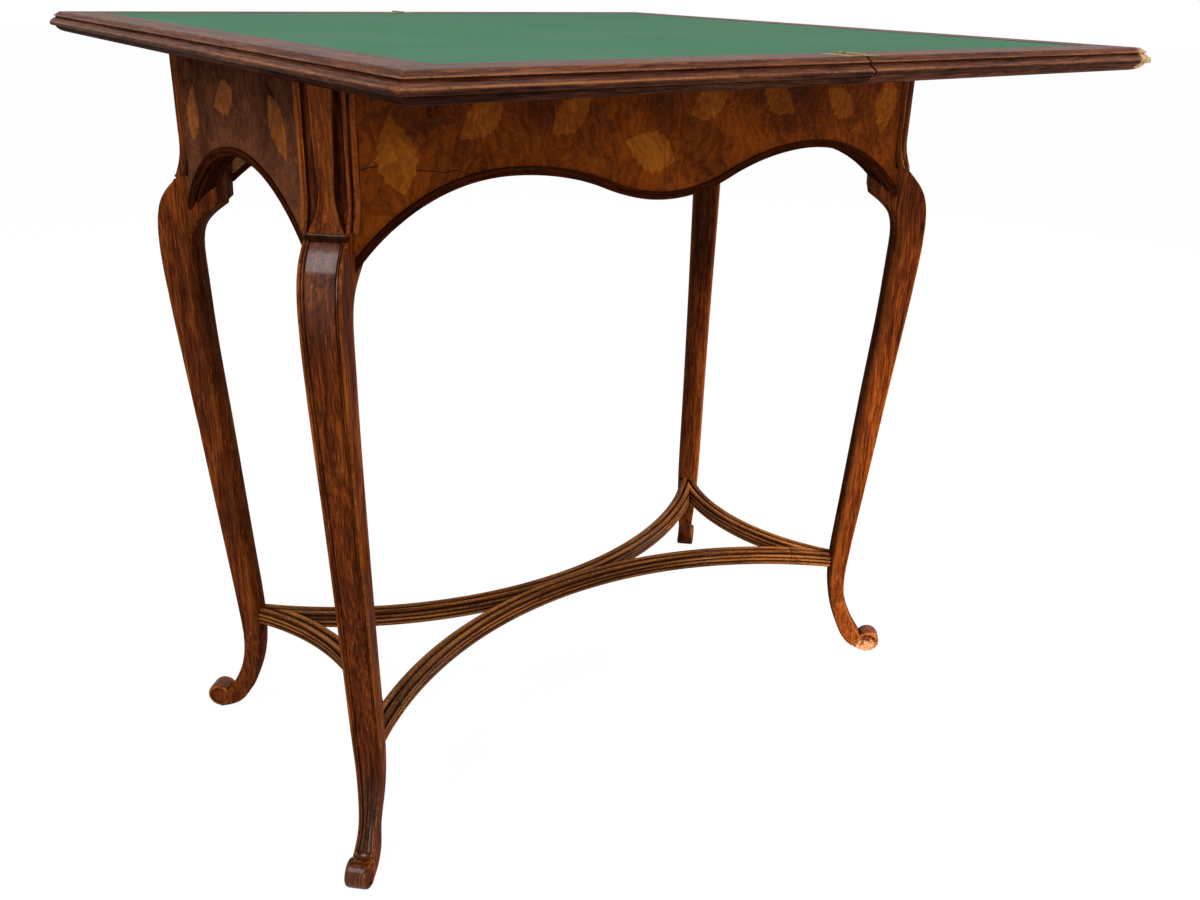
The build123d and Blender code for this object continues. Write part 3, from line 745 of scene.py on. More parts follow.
def cut(mesh: bmesh.types.BMesh, point: Vector, outward: Vector) -> None:
    """Cuts a closed piece by a plane, drops the outward side and closes the cut.

    Args:
        mesh: the piece.
        point: a point of the plane.
        outward: the side that goes.
    """
    geometry = mesh.verts[:] + mesh.edges[:] + mesh.faces[:]
    made = bmesh.ops.bisect_plane(mesh, geom=geometry, plane_co=point, plane_no=outward, clear_outer=True)
    rim = [item for item in made["geom_cut"] if isinstance(item, bmesh.types.BMEdge)]
    if rim:
        bmesh.ops.holes_fill(mesh, edges=rim, sides=0)


KNOCKED_WEAR = 0.45


def knock(mesh: bmesh.types.BMesh, depth: float, scale: float) -> None:
    """Dents the rubbed arrises a little, deeper in some places.

    Args:
        mesh: the piece, with its rubbed marks.
        depth: the deepest dent.
        scale: how close the dents are.
    """
    wear_and_highlight = mesh.verts.layers.float["wear_and_highlight"]
    mesh.normal_update()
    for vert in mesh.verts:
        if vert[wear_and_highlight] > KNOCKED_WEAR:
            roughness = noise.noise(vert.co * scale) + 0.5 * noise.noise(vert.co * scale * 3.1)
            vert.co -= vert.normal * (depth * max(0.0, roughness - 0.12) * vert[wear_and_highlight])


def add_piece(mesh: bmesh.types.BMesh, name: str, body: str, material: bpy.types.Material,
              stands_for: Sequence[str], sharp: float = 38.0) -> bpy.types.Object:
    """Turns a bmesh into a dressed piece that rides on a body.

    Args:
        mesh: the shape, which is freed.
        name: the piece's name.
        body: the body that it rides on.
        material: its finish.
        stands_for: the plain nodes that it replaces.
        sharp: edges that turn by more degrees than this stay sharp.

    Returns:
        The object.
    """
    bmesh.ops.recalc_face_normals(mesh, faces=mesh.faces[:])
    limit = math.radians(sharp)
    for face in mesh.faces:
        face.smooth = True
    for edge in mesh.edges:
        edge.smooth = edge.calc_face_angle(0.0) < limit
    data = bpy.data.meshes.new(name)
    mesh.to_mesh(data)
    mesh.free()
    piece = bpy.data.objects.new(name, data)
    bpy.context.scene.collection.objects.link(piece)
    data.materials.append(material)
    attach(piece, body)
    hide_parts(*stands_for)
    LOG.info("%s rides on %s with %d faces", name, body, len(data.polygons))
    return piece


def dress(node: str, material: bpy.types.Material) -> None:
    """Gives a plain node its finish.

    Args:
        node: the plain node.
        material: its finish.
    """
    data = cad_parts[node].data
    data.materials.clear()
    data.materials.append(material)
    LOG.info("%s dressed in %s", node, material.name)


METAL_SHARP = 50.0
SHARP_EDGE = math.radians(35)


def merged(node: str) -> bmesh.types.BMesh:
    """A copy of a node with its loose triangles joined and its flat faces made whole.

    Args:
        node: the plain node.

    Returns:
        The copy.
    """
    mesh = bmesh.new()
    mesh.from_mesh(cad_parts[node].data)
    bmesh.ops.remove_doubles(mesh, verts=mesh.verts[:], dist=0.001 * MM)
    flat = math.radians(0.6)
    bmesh.ops.dissolve_limit(mesh, angle_limit=flat, verts=mesh.verts[:], edges=mesh.edges[:])
    return mesh


def soften(mesh: bmesh.types.BMesh, width: float) -> None:
    """Rounds the sharp edges of a hard piece.

    Args:
        mesh: the piece.
        width: how far the rounding reaches on each side of an edge.
    """
    mesh.normal_update()
    edges = [edge for edge in mesh.edges if edge.calc_face_angle(0.0) > SHARP_EDGE]
    bmesh.ops.bevel(mesh, geom=edges, offset=width, affect="EDGES", segments=2, profile=0.5,
                    material=-1, clamp_overlap=True)


def blend(low: float, high: float, value: float) -> float:
    """Runs smoothly from 0 at the low value to 1 at the high one, which may be the smaller number."""
    share = min(1.0, max(0.0, (value - low) / (high - low)))
    return share * share * (3 - 2 * share)


def corner_matrix(side_x: int, side_y: int, half_length: float, half_depth: float) -> Matrix:
    """Turns a leg outward and stands it at a corner of the apron."""
    turn = Matrix.Rotation(math.atan2(side_y, side_x), 4, "Z")
    return Matrix.Translation((side_x * half_length, side_y * half_depth, 0)) @ turn


# Legs


@dataclass
class CarvedLeg:
    """One carved leg, drawn with its outward reach first, then across, then up, all in millimetres."""

    half_width: float = LEG_HALF_WIDTH
    top: float = 729.7
    block_front: float = -15.0
    back_heights: tuple[float, ...] = (585.1, 591.3, 620.0, 650.0)
    back_reaches: tuple[float, ...] = (-45.0, -46.0, -47.0, -57.0)
    knee: float = 614.0
    shelf: tuple[tuple[float, float], ...] = ((614.8, -7.8), (614.4, -5.4), (613.3, -4.8), (612.4, -5.1),
                                              (611.8, -6.2), (611.0, -6.0), (610.2, -4.2))
    outer_points: tuple[tuple[float, float], ...] = (
        (-5.5, 611.5), (12, 591.3), (19.5, 560), (18.5, 512.1), (5.2, 370.9), (-9, 224.1), (-17.5, 135.1),
        (-17.8, 84.7), (-9, 52.2), (8.53, 21.63),
    )
    inner_points: tuple[tuple[float, float], ...] = (
        (20, -0.4), (-4, 8), (-22, 33.8), (-35, 70), (-41, 119.7), (-38.5, 175), (-32, 268.9), (-25, 367.8),
        (-18.5, 454.4), (-15.5, 521.9), (-20.5, 563), (-45, 585.1),
    )
    width_points: tuple[tuple[float, float], ...] = (
        (10.98, 0), (10.98, 18.4), (9, 36.8), (10.1, 60.2), (13.2, 105), (14.6, 200.2), (15.5, 370.9),
        (17.6, 545.2), (18, 614),
    )
    band_rise: float = 5.0
    band_top: float = 9.9
    band_margin: float = 3.4
    band_curve: float = 2.1
    band_waist: float = 6.5
    band_waist_height: float = 645.0
    rib_width: float = 2.6
    block_flare: float = 7.2
    band_sink: float = 1.4
    hollow_depth: float = 2.6
    hollow_width: float = 4
    least_hollow: float = 0.4
    # The quirk at the front of the side and the back of the block are darkened as painted shade, partly
    # dirty build-up.
    side_rib: tuple[Carved, ...] = (
        (0.1, 2.6, 0, 0.9), (0.7, 3.4, 0, 1), (1.3, 2.7, 0.2, 0.4), (2.2, 2.2, 0.6, 0), (3.6, 2.3, 0.5, 0),
        (4.7, 3.0, 0.7, 0), (5.2, 4.3, 0.3, 0), (5.2, 10, 0, 0.8), (0, 13, 0, 0.9),
    )
    panel_top: float = 608.8
    panel_bottom: float = 24.0
    panel_rim: float = 5.9
    panel_sink: float = 1.9
    flute_heights: tuple[float, float] = (84, 150)
    frame_points: int = 6
    frame_edge: float = 1.4
    knee_gloss: tuple[float, float] = (520, 585)
    foot_gloss: tuple[float, float] = (110, 60)
    under_shelf: float = 612
    ear_height: float = 590
    ear_rounding: float = 1.5
    foot_rounding: float = 3.0
    shaft_rounding: float = 9.0
    rounding_heights: tuple[float, float] = (40, 150)
    full_depth: float = 12
    least_depth: float = 0.6
    side_shares: tuple[float, float] = (0.06, 0.8)
    dent: float = 0.45
    dent_scale: float = 70.0
    roll_centre: tuple[float, float] = (20.0, 13.6)
    roll_radius: float = 14.0
    roll_proud: float = 0.12
    roll_steps: int = 56
    # The rim ring is brightened as rubbing and painted highlight; the ring in the recess is darkened as
    # painted shade, partly dirty build-up.
    wear_and_highlight_ring: tuple[float, float] = (10.6, 13.4)
    dirt_and_shade_ring: tuple[float, float] = (8.4, 9.9)
    outer: Curve = field(init=False)
    inner: Curve = field(init=False)
    width: Curve = field(init=False)

    def __post_init__(self) -> None:
        """Fits the leg's outlines."""
        self.outer = Curve(self.outer_points)
        self.inner = Curve(self.inner_points)
        self.width = Curve(self.width_points)

    def outer_at(self, height: float) -> float:
        """How far the front of the leg reaches.

        Args:
            height: the height above the floor.

        Returns:
            The outward reach.
        """
        shelf_low, shelf_high = self.shelf[-1][0], self.shelf[0][0]
        if height >= shelf_high:
            return self.block_front + self.block_flare * self.bell(height)
        if height >= shelf_low:
            heights, reaches = zip(*reversed(self.shelf))
            return float(np.interp(height, heights, reaches))
        reach, turn_height = self.outer_points[-1]
        if height < turn_height:
            share = (turn_height - height) / turn_height
            return reach + (self.roll_centre[0] - reach) * math.sin(share * math.pi / 2)
        return self.outer.across_at(height)

    def bell(self, height: float) -> float:
        """How far the block has flared at a height: 0 at the waist of its band, 1 at the shelf."""
        low = (self.band_waist_height - height) / (self.band_waist_height - self.shelf[0][0])
        return max(0.0, low) ** 2

    def inner_at(self, height: float) -> float:
        """How far in the back of the leg reaches, with the ear and the block above it.

        Args:
            height: the height above the floor.

        Returns:
            The reach, which is below 0 inside the corner.
        """
        if height >= self.back_heights[0]:
            return float(np.interp(height, self.back_heights, self.back_reaches))
        return min(self.inner.across_at(height), self.roll_centre[0])

    def half_at(self, height: float) -> float:
        """Half the leg's width at a height."""
        return self.width.across_at(height) if height < self.knee else self.half_width

    def band_at(self, height: float) -> float:
        """Half the raised band's width: it tapers down to its waist, then flares like a bell.

        Args:
            height: the height above the floor.

        Returns:
            Half the width.
        """
        if height >= self.band_waist_height:
            share = (height - self.band_waist_height) / (self.top - self.band_waist_height)
            return self.band_waist + (self.band_top - self.band_waist) * share
        share = (self.band_waist_height - height) / (self.band_waist_height - self.shelf[0][0])
        widest = self.half_width - self.band_margin
        return self.band_waist + (widest - self.band_waist) * min(1.0, share) ** self.band_curve

    def block_face(self, height: float) -> list[Carved]:
        """The carved front of the block from its middle to its edge.

        Args:
            height: the height above the floor.

        Returns:
            Its points.
        """
        band, half = self.band_at(height), self.half_at(height)
        rise = -self.band_rise + self.band_sink * self.bell(height)
        rib = half - self.rib_width
        flute = max(rib - band, self.least_hollow)
        hollow = self.hollow_depth * min(1.0, flute / self.hollow_width)
        # The flute beside the band and its edges at band and rib are darkened as painted shade, partly dirty
        # build-up.
        return [
            (0, rise, 0.4, 0), (band * 0.4, rise, 0.35, 0), (band * 0.75, rise + 0.05, 0.4, 0),
            (band - 0.7, rise + 0.25, 0.6, 0), (band - 0.1, rise + 0.9, 0.35, 0.1),
            (band, -0.2, 0, 0.95), (band + flute * 0.3, hollow, 0, 0.7),
            (band + flute * 0.6, hollow, 0, 0.4), (band + flute * 0.9, hollow * 0.7, 0, 0.9),
            (rib, -1.1, 0, 0.9), (rib + 0.4, -1.8, 0.3, 0),
            (half - 1.2, -2.0, 0.4, 0), (half - 0.4, -1.75, 0.6, 0), (half, -1.1, 0.3, 0),
        ]

    def shaft_face(self, height: float) -> list[Carved]:
        """The sunk front of the shaft from its middle to its edge, fluted near the foot.

        Args:
            height: the height above the floor.

        Returns:
            Its points.
        """
        half = self.half_at(height)
        sunk = 1.0 if self.panel_bottom <= height <= self.panel_top else 0.0
        fluted = 1 - blend(*self.flute_heights, height)
        rim = half - self.panel_rim + 1.3 * fluted
        ridge = self.panel_sink - 1.5 * fluted
        floor = self.panel_sink + 1.1 * fluted
        # The flutes of the sunk panel near the foot, and the quirks beside the panel, are darkened as
        # painted shade, partly dirty build-up.
        dirt_and_shade = 0.75 * fluted * sunk
        face = [
            (0, ridge, 0.1 + 0.4 * fluted, 0), (rim * 0.22, ridge + 0.12 + 1.3 * fluted, 0, dirt_and_shade),
            (rim * 0.6, floor, 0, dirt_and_shade * 0.6), (rim, floor, 0, 0.25), (rim + 0.5, floor + 0.6, 0, 1),
            (rim + 0.9, 1.3, 0, 0.5), (rim + 1.6, 0.6, 0.3, 0), (rim + 2.3, 0.8, 0.1, 0.1),
            (rim + 2.7, 1.7, 0, 1), (rim + 3.0, 0.6, 0.3, 0.4),
            (min(rim + 3.5, half - 2.0), 0.12, 0.4, 0), (half - 1.3, 0, 0.7, 0),
            (half - 0.5, 0.3, 0.8, 0), (half, 1.0, 0.5, 0),
        ]
        if sunk:
            return face
        edge = half - self.frame_edge
        return [(across, 0.0 if across < edge else depth, wear_and_highlight, 0) for across, depth, wear_and_highlight, _ in face]

    def back_rounding(self, height: float) -> float:
        """How far the back edges are rounded: least at the ear, most along the shaft.

        Args:
            height: the height above the floor.

        Returns:
            The rounding where the leg has its full depth.
        """
        if height > self.ear_height:
            return self.ear_rounding
        return self.shaft_rounding * blend(*self.rounding_heights, height) + self.foot_rounding

    def section(self, height: float) -> Section:
        """The whole ring of the leg.

        Args:
            height: the height above the floor.

        Returns:
            The ring, from the middle of the front round to it again.
        """
        front = self.outer_at(height)
        back = self.inner_at(height)
        half = self.half_at(height)
        on_block = height >= self.shelf[0][0]
        face = self.block_face(height) if on_block else self.shaft_face(height)
        # Painted shade under the shelf: full below the under-shelf height, half above it, between the
        # panel's top and the shelf.
        if self.panel_top < height < self.shelf[0][0]:
            under = 1.0 if height < self.under_shelf else 0.5
            face = [(across, 0.0, 0.1, under) for across, *_ in face]
        deep = max(front - back, self.least_depth)
        scale = min(1.0, deep / self.full_depth)
        round_back = self.back_rounding(height) * scale
        half_ring = [(front - depth * scale, across, wear_and_highlight, grime_and_shade) for across, depth, wear_and_highlight, grime_and_shade in face]
        glossy = max(blend(*self.knee_gloss, height), blend(*self.foot_gloss, height))
        glossy = 0.0 if on_block else glossy
        glossy_points = len(face) - self.frame_points
        if on_block:
            half_ring += [
                (front - depth, half + out, wear_and_highlight, grime_and_shade) for out, depth, wear_and_highlight, grime_and_shade in self.side_rib
            ]
        else:
            shares = np.linspace(*self.side_shares, len(self.side_rib))
            half_ring += [(front - (scale + (deep - round_back) * share), half, 0, 0) for share in shares]
        # The back corner and the back face are darkened as painted shade, partly dirty build-up.
        half_ring += [
            (back + round_back, half, 0.2, 0.1),
            (back + round_back * 0.6, half - round_back * 0.09, 0.4, 0.3),
            (back + round_back * 0.26, half - round_back * 0.33, 0, 0.6),
            (back, half - round_back, 0, 0.7), (back, half * 0.2, 0, 0.7), (back, 0, 0, 0.7),
        ]
        other_half = reversed(half_ring[1:-1])
        ring = half_ring + [(reach, -across, wear_and_highlight, grime_and_shade) for reach, across, wear_and_highlight, grime_and_shade in other_half]
        points = [Vector((reach * MM, across * MM, height * MM)) for reach, across, _, _ in ring]
        from_front = [min(place, len(ring) - place) for place in range(len(ring))]
        gloss = [glossy if place < glossy_points else 0.0 for place in from_front]
        return Section(points, [item[2] for item in ring], [item[3] for item in ring], gloss)

    def heights(self) -> list[float]:
        """Chooses the rings: close where the outline turns, wider along the shaft.

        Returns:
            Their heights from the top down.
        """
        block = list(np.linspace(self.top, 660, 8)) + list(np.linspace(655, 616.6, 18)) + [615.3]
        shelf = [height for height, _ in self.shelf]
        knee = [609.6, self.panel_top + 0.3, self.panel_top - 0.4, 606.8, 604.6]
        knee += list(np.arange(601.5, 552, -3.2)) + [599.9, 591.3, 585.1]
        shaft = list(np.arange(546, 100, -8.5)) + list(np.arange(98, 50, -4.0))
        foot = [46, 42, 38, 34, 30, 27, self.panel_bottom + 0.3, self.panel_bottom - 0.4, 21.6]
        foot += [18, 14, 10, 6.5, 4, 2.2, 1.0, 0.3]
        return sorted(set(block + shelf + knee + shaft + foot), reverse=True)

    def roll(self) -> bmesh.types.BMesh:
        """The rolled foot: a drum with a ringed disc on each side, cut flat to stand.

        Returns:
            The roll, with its rubbing and painted highlight, its dirty build-up and painted shade, and its
            gloss marked.
        """
        half = self.half_at(self.roll_centre[1]) + self.roll_proud
        radius = self.roll_radius
        outline = (
            (0.001, half - 0.8), (6.6, half - 0.8), (8.8, half - 1.1), (9.8, half - 1.0), (10.2, half - 0.2),
            (11.0, half), (12.1, half - 0.3), (13.1, half - 1.1), (13.7, half - 2.3), (radius, half - 4),
            (radius, half * 0.3),
        )
        sides = [*outline, *[(reach, -across) for reach, across in reversed(outline)]]
        centre = Vector((self.roll_centre[0] * MM, 0, self.roll_centre[1] * MM))
        mesh = bmesh.new()
        line = [mesh.verts.new(centre + Vector((reach * MM, across * MM, 0))) for reach, across in sides]
        edges = [mesh.edges.new(pair) for pair in zip(line, line[1:])]
        bmesh.ops.spin(mesh, geom=line + edges, cent=centre, axis=(0, 1, 0), angle=math.tau,
                       steps=self.roll_steps, use_merge=True)
        bmesh.ops.remove_doubles(mesh, verts=mesh.verts[:], dist=0.01 * MM)
        wear_and_highlight = mesh.verts.layers.float.new("wear_and_highlight")
        grime_and_shade = mesh.verts.layers.float.new("grime_and_shade")
        polish = mesh.verts.layers.float.new("polish")
        for vert in mesh.verts:
            reach = math.hypot(vert.co.x - centre.x, vert.co.z - centre.z) / MM
            vert[wear_and_highlight] = 1.0 if self.wear_and_highlight_ring[0] < reach < self.wear_and_highlight_ring[1] else 0.1
            vert[grime_and_shade] = 0.8 if self.dirt_and_shade_ring[0] < reach < self.dirt_and_shade_ring[1] else 0.1
            vert[polish] = 0.8 if reach > self.wear_and_highlight_ring[1] else 0.0
        bmesh.ops.recalc_face_normals(mesh, faces=mesh.faces[:])
        cut(mesh, Vector((0, 0, 0)), Vector((0, 0, -1)))
        return mesh

    def shape(self, place: Matrix) -> bmesh.types.BMesh:
        """The leg with its foot.

        Args:
            place: where it stands and how it is turned.

        Returns:
            The leg in its place.
        """
        mesh = sweep([self.section(height) for height in self.heights()])
        knock(mesh, self.dent * MM, self.dent_scale)
        roll = self.roll()
        data = bpy.data.meshes.new("roll")
        roll.to_mesh(data)
        roll.free()
        mesh.from_mesh(data)
        bpy.data.meshes.remove(data)
        bmesh.ops.transform(mesh, matrix=place, verts=mesh.verts[:])
        return mesh


@dataclass
class Legs:
    """The four legs at the corners of the apron."""

    half_length: float = APRON_HALF_LENGTH * MM
    half_depth: float = APRON_HALF_DEPTH * MM
    leg: CarvedLeg = field(default_factory=CarvedLeg)
    bare_corner: str = "front_right"
    bare_scuff: tuple[float, float] = (28 * MM, 0.9)
    light_scuff: tuple[float, float] = (12 * MM, 0.5)
    scuff_height: float = -8 * MM
    grain_shift: float = 1.7
    corners: tuple[tuple[str, int, int], ...] = (
        ("front_left", -1, -1), ("front_right", 1, -1), ("back_right", 1, 1), ("back_left", -1, 1),
    )

    def foot(self, side_x: int, side_y: int, height: float) -> Point:
        """The middle of a rolled foot, at a height."""
        reach = self.leg.roll_centre[0] * MM / math.sqrt(2)
        return (side_x * (self.half_length + reach), side_y * (self.half_depth + reach), height)

    def build(self) -> None:
        """Carves, places and dresses each leg."""
        for count, (corner, side_x, side_y) in enumerate(self.corners):
            foot = self.foot(side_x, side_y, self.scuff_height)
            reach, bareness = self.bare_scuff if corner == self.bare_corner else self.light_scuff
            finish = leg_wood(corner, Scuff(foot, reach, bareness), self.grain_shift * count).material()
            place = corner_matrix(side_x, side_y, self.half_length, self.half_depth)
            name = "carved_leg_" + corner
            add_piece(self.leg.shape(place), name, "base", finish, ("leg_" + corner,))


# Apron


@dataclass
class Arc:
    """Part of a circle in an upright plane: middle, radius, first and last angle, and which way is down."""

    across: float
    height: float
    radius: float
    start: float
    end: float
    down: int

    def stations(self, steps: int) -> list[Station]:
        """Places along the arc.

        Args:
            steps: how many.

        Returns:
            The places, from the first angle to the last.
        """
        made = []
        for angle in np.linspace(self.start, self.end, steps):
            side, up = math.cos(angle), math.sin(angle)
            place = (self.across + self.radius * side, self.height + self.radius * up)
            made.append((*place, side * self.down, up * self.down))
        return made


@dataclass
class Apron:
    """Rails, veneers, inlaid leaves and the moulded bead under the shaped edges, in millimetres."""

    half_length: float = APRON_HALF_LENGTH
    half_depth: float = APRON_HALF_DEPTH
    leg_side: float = LEG_SIDE
    lobe_height: float = 617.6
    front_arch_height: float = 652.5
    arch_place: float = 0.5217 * APRON_HALF_LENGTH
    inner_share: float = 0.623
    outer_rise: float = 60.8
    side_arch_height: float = 657.0
    side_rise: float = 65.8
    overshoot: float = 14.0
    arc_steps: int = 22
    side_steps: int = 56
    dent: float = 0.3
    dent_scale: float = 90.0
    crack: Point = (-0.335, -0.205, 0.6635)
    bead_proud: float = 2.0
    # The groove and the underside of the bead are darkened as painted shade, partly dirty build-up.
    bead_marks: tuple[Mark, ...] = (
        Mark(0.2, 0.05), Mark(1.0, 0.1, 0.3), Mark(0.2, 0.9, 0.6), Mark(0.0, 2.3, 0.3), Mark(0.0, 4.4, 0.2),
        Mark(0.35, 6.1, 0.5), Mark(1.2, 7.1, 0.8), Mark(2.4, 7.5, 0.5), Mark(3.6, 7.3, 0.3),
        Mark(4.4, 6.5, 0, 0.6), Mark(4.9, 5.4, 0, 1), Mark(5.6, 5.1, 0, 1), Mark(6.1, 5.6, 0, 1),
        Mark(6.4, 6.6, 0.2, 0.2), Mark(7.1, 7.3, 0.5), Mark(8.0, 7.5, 0.6), Mark(9.0, 7.3, 0.3),
        Mark(9.7, 6.5, 0, 0.5), Mark(10.1, 5.9, 0, 0.9), Mark(11.2, 5.9, 0, 0.6), Mark(23.5, 6.0, 0, 0.2),
        Mark(23.5, 0.05),
    )

    def front_line(self) -> list[Station]:
        """The shaped edge of the front: hollows and a lobe, joined smoothly.

        Returns:
            Its places from left to right.
        """
        drop = self.front_arch_height - self.lobe_height
        radii = (self.arch_place**2 + drop**2) / (2 * drop)
        inner = self.inner_share * radii
        lobe_up = self.lobe_height + radii - inner
        inner_up = self.front_arch_height - inner
        chord = self.half_length + self.bead_proud - self.leg_side - self.arch_place
        outer = (chord**2 + self.outer_rise**2) / (2 * self.outer_rise)
        flow = math.atan2(lobe_up - inner_up, self.arch_place)
        right = math.pi / 2
        last = math.asin(min(1.0, (chord + self.overshoot) / outer))
        arcs = (
            Arc(-self.arch_place, self.front_arch_height - outer, outer, right + last, right, -1),
            Arc(-self.arch_place, inner_up, inner, right, flow, -1),
            Arc(0, lobe_up, radii - inner, -math.pi + flow, -flow, 1),
            Arc(self.arch_place, inner_up, inner, math.pi - flow, right, -1),
            Arc(self.arch_place, self.front_arch_height - outer, outer, right, right - last, -1),
        )
        line = []
        for count, arc in enumerate(arcs):
            line += arc.stations(self.arc_steps)[1 if count else 0:]
        return line

    def side_line(self) -> list[Station]:
        """The arched edge of a side.

        Returns:
            Its places from left to right.
        """
        chord = self.half_depth + self.bead_proud - self.leg_side
        radius = (chord**2 + self.side_rise**2) / (2 * self.side_rise)
        last = math.asin(min(1.0, (chord + self.overshoot) / radius))
        right = math.pi / 2
        arch = Arc(0, self.side_arch_height - radius, radius, right + last, right - last, -1)
        return arch.stations(self.side_steps)

    def bead(self, line: list[Station], face: float) -> bmesh.types.BMesh:
        """The bead along a shaped edge, with its outer face looking towards -Y.

        Args:
            line: the places of the edge.
            face: how far out the veneer's face is.

        Returns:
            The bead, longer than it ends up at both ends.
        """
        sections = []
        for across, up, drop_across, drop_up in line:
            points = [
                Vector((
                    (across + mark.down * drop_across) * MM,
                    -(face + self.bead_proud - mark.across) * MM,
                    (up + mark.down * drop_up) * MM,
                ))
                for mark in self.bead_marks
            ]
            wear_and_highlight = [mark.wear_and_highlight for mark in self.bead_marks]
            sections.append(Section(points, wear_and_highlight, [mark.grime_and_shade for mark in self.bead_marks]))
        mesh = sweep(sections)
        knock(mesh, self.dent * MM, self.dent_scale)
        return mesh

    @staticmethod
    def trim(mesh: bmesh.types.BMesh, offset: float) -> None:
        """Cuts both ends of a strip where it meets the sides of the legs."""
        for side in (-1, 1):
            cut(mesh, Vector((side * offset * MM, 0, 0)), Vector((side, 1, 0)).normalized())

    def build(self) -> None:
        """Builds the beads and dresses the rails, veneers and inlays."""
        finish = Wood("dark_walnut", grain=Grain.ALONG_PIECE, gloss=0.34, coat=0.0, figure=0.3,
                      **BEAD_TONES).material()
        front_offset = self.half_length - self.half_depth - self.leg_side
        side_offset = self.half_depth - self.half_length - self.leg_side
        turns = {
            "front": (self.front_line(), self.half_depth, front_offset, Matrix.Identity(4)),
            "back": (self.front_line(), self.half_depth, front_offset, HALF_TURN),
            "left": (self.side_line(), self.half_length, side_offset, QUARTER_BACK),
            "right": (self.side_line(), self.half_length, side_offset, HALF_TURN @ QUARTER_BACK),
        }
        for side, (line, face, offset, turn) in turns.items():
            strip = self.bead(line, face)
            self.trim(strip, offset)
            bmesh.ops.transform(strip, matrix=turn, verts=strip.verts[:])
            node = "arch_bead_" + side
            add_piece(strip, "moulded_bead_" + side, "base", finish, (node,))
        self.dress_faces()

    def dress_faces(self) -> None:
        """Gives the rails, veneers and inlaid leaves their finishes."""
        burr = Burr("burr_walnut", srgb(46, 17, 2), srgb(84, 36, 4), srgb(124, 58, 8),
                    crack=self.crack).material()
        side_burr = Burr("burr_walnut_side", srgb(44, 23, 14), srgb(74, 42, 27), srgb(106, 62, 38),
                         coat=0.0).material()
        inlay = Burr("inlay_maple", srgb(84, 38, 4), srgb(112, 56, 8), srgb(148, 84, 20)).material()
        carcase = Wood("carcase_pine", srgb(82, 52, 30), srgb(124, 84, 50), srgb(158, 116, 72),
                       srgb(180, 140, 92), Grain.LENGTH, gloss=0.6, coat=0.0).material()
        for side in ("front", "back", "left", "right"):
            dress("rail_" + side, carcase)
            dress("veneer_" + side, burr if side in ("front", "back") else side_burr)
            dress("inlay_" + side, inlay)


# Stretchers


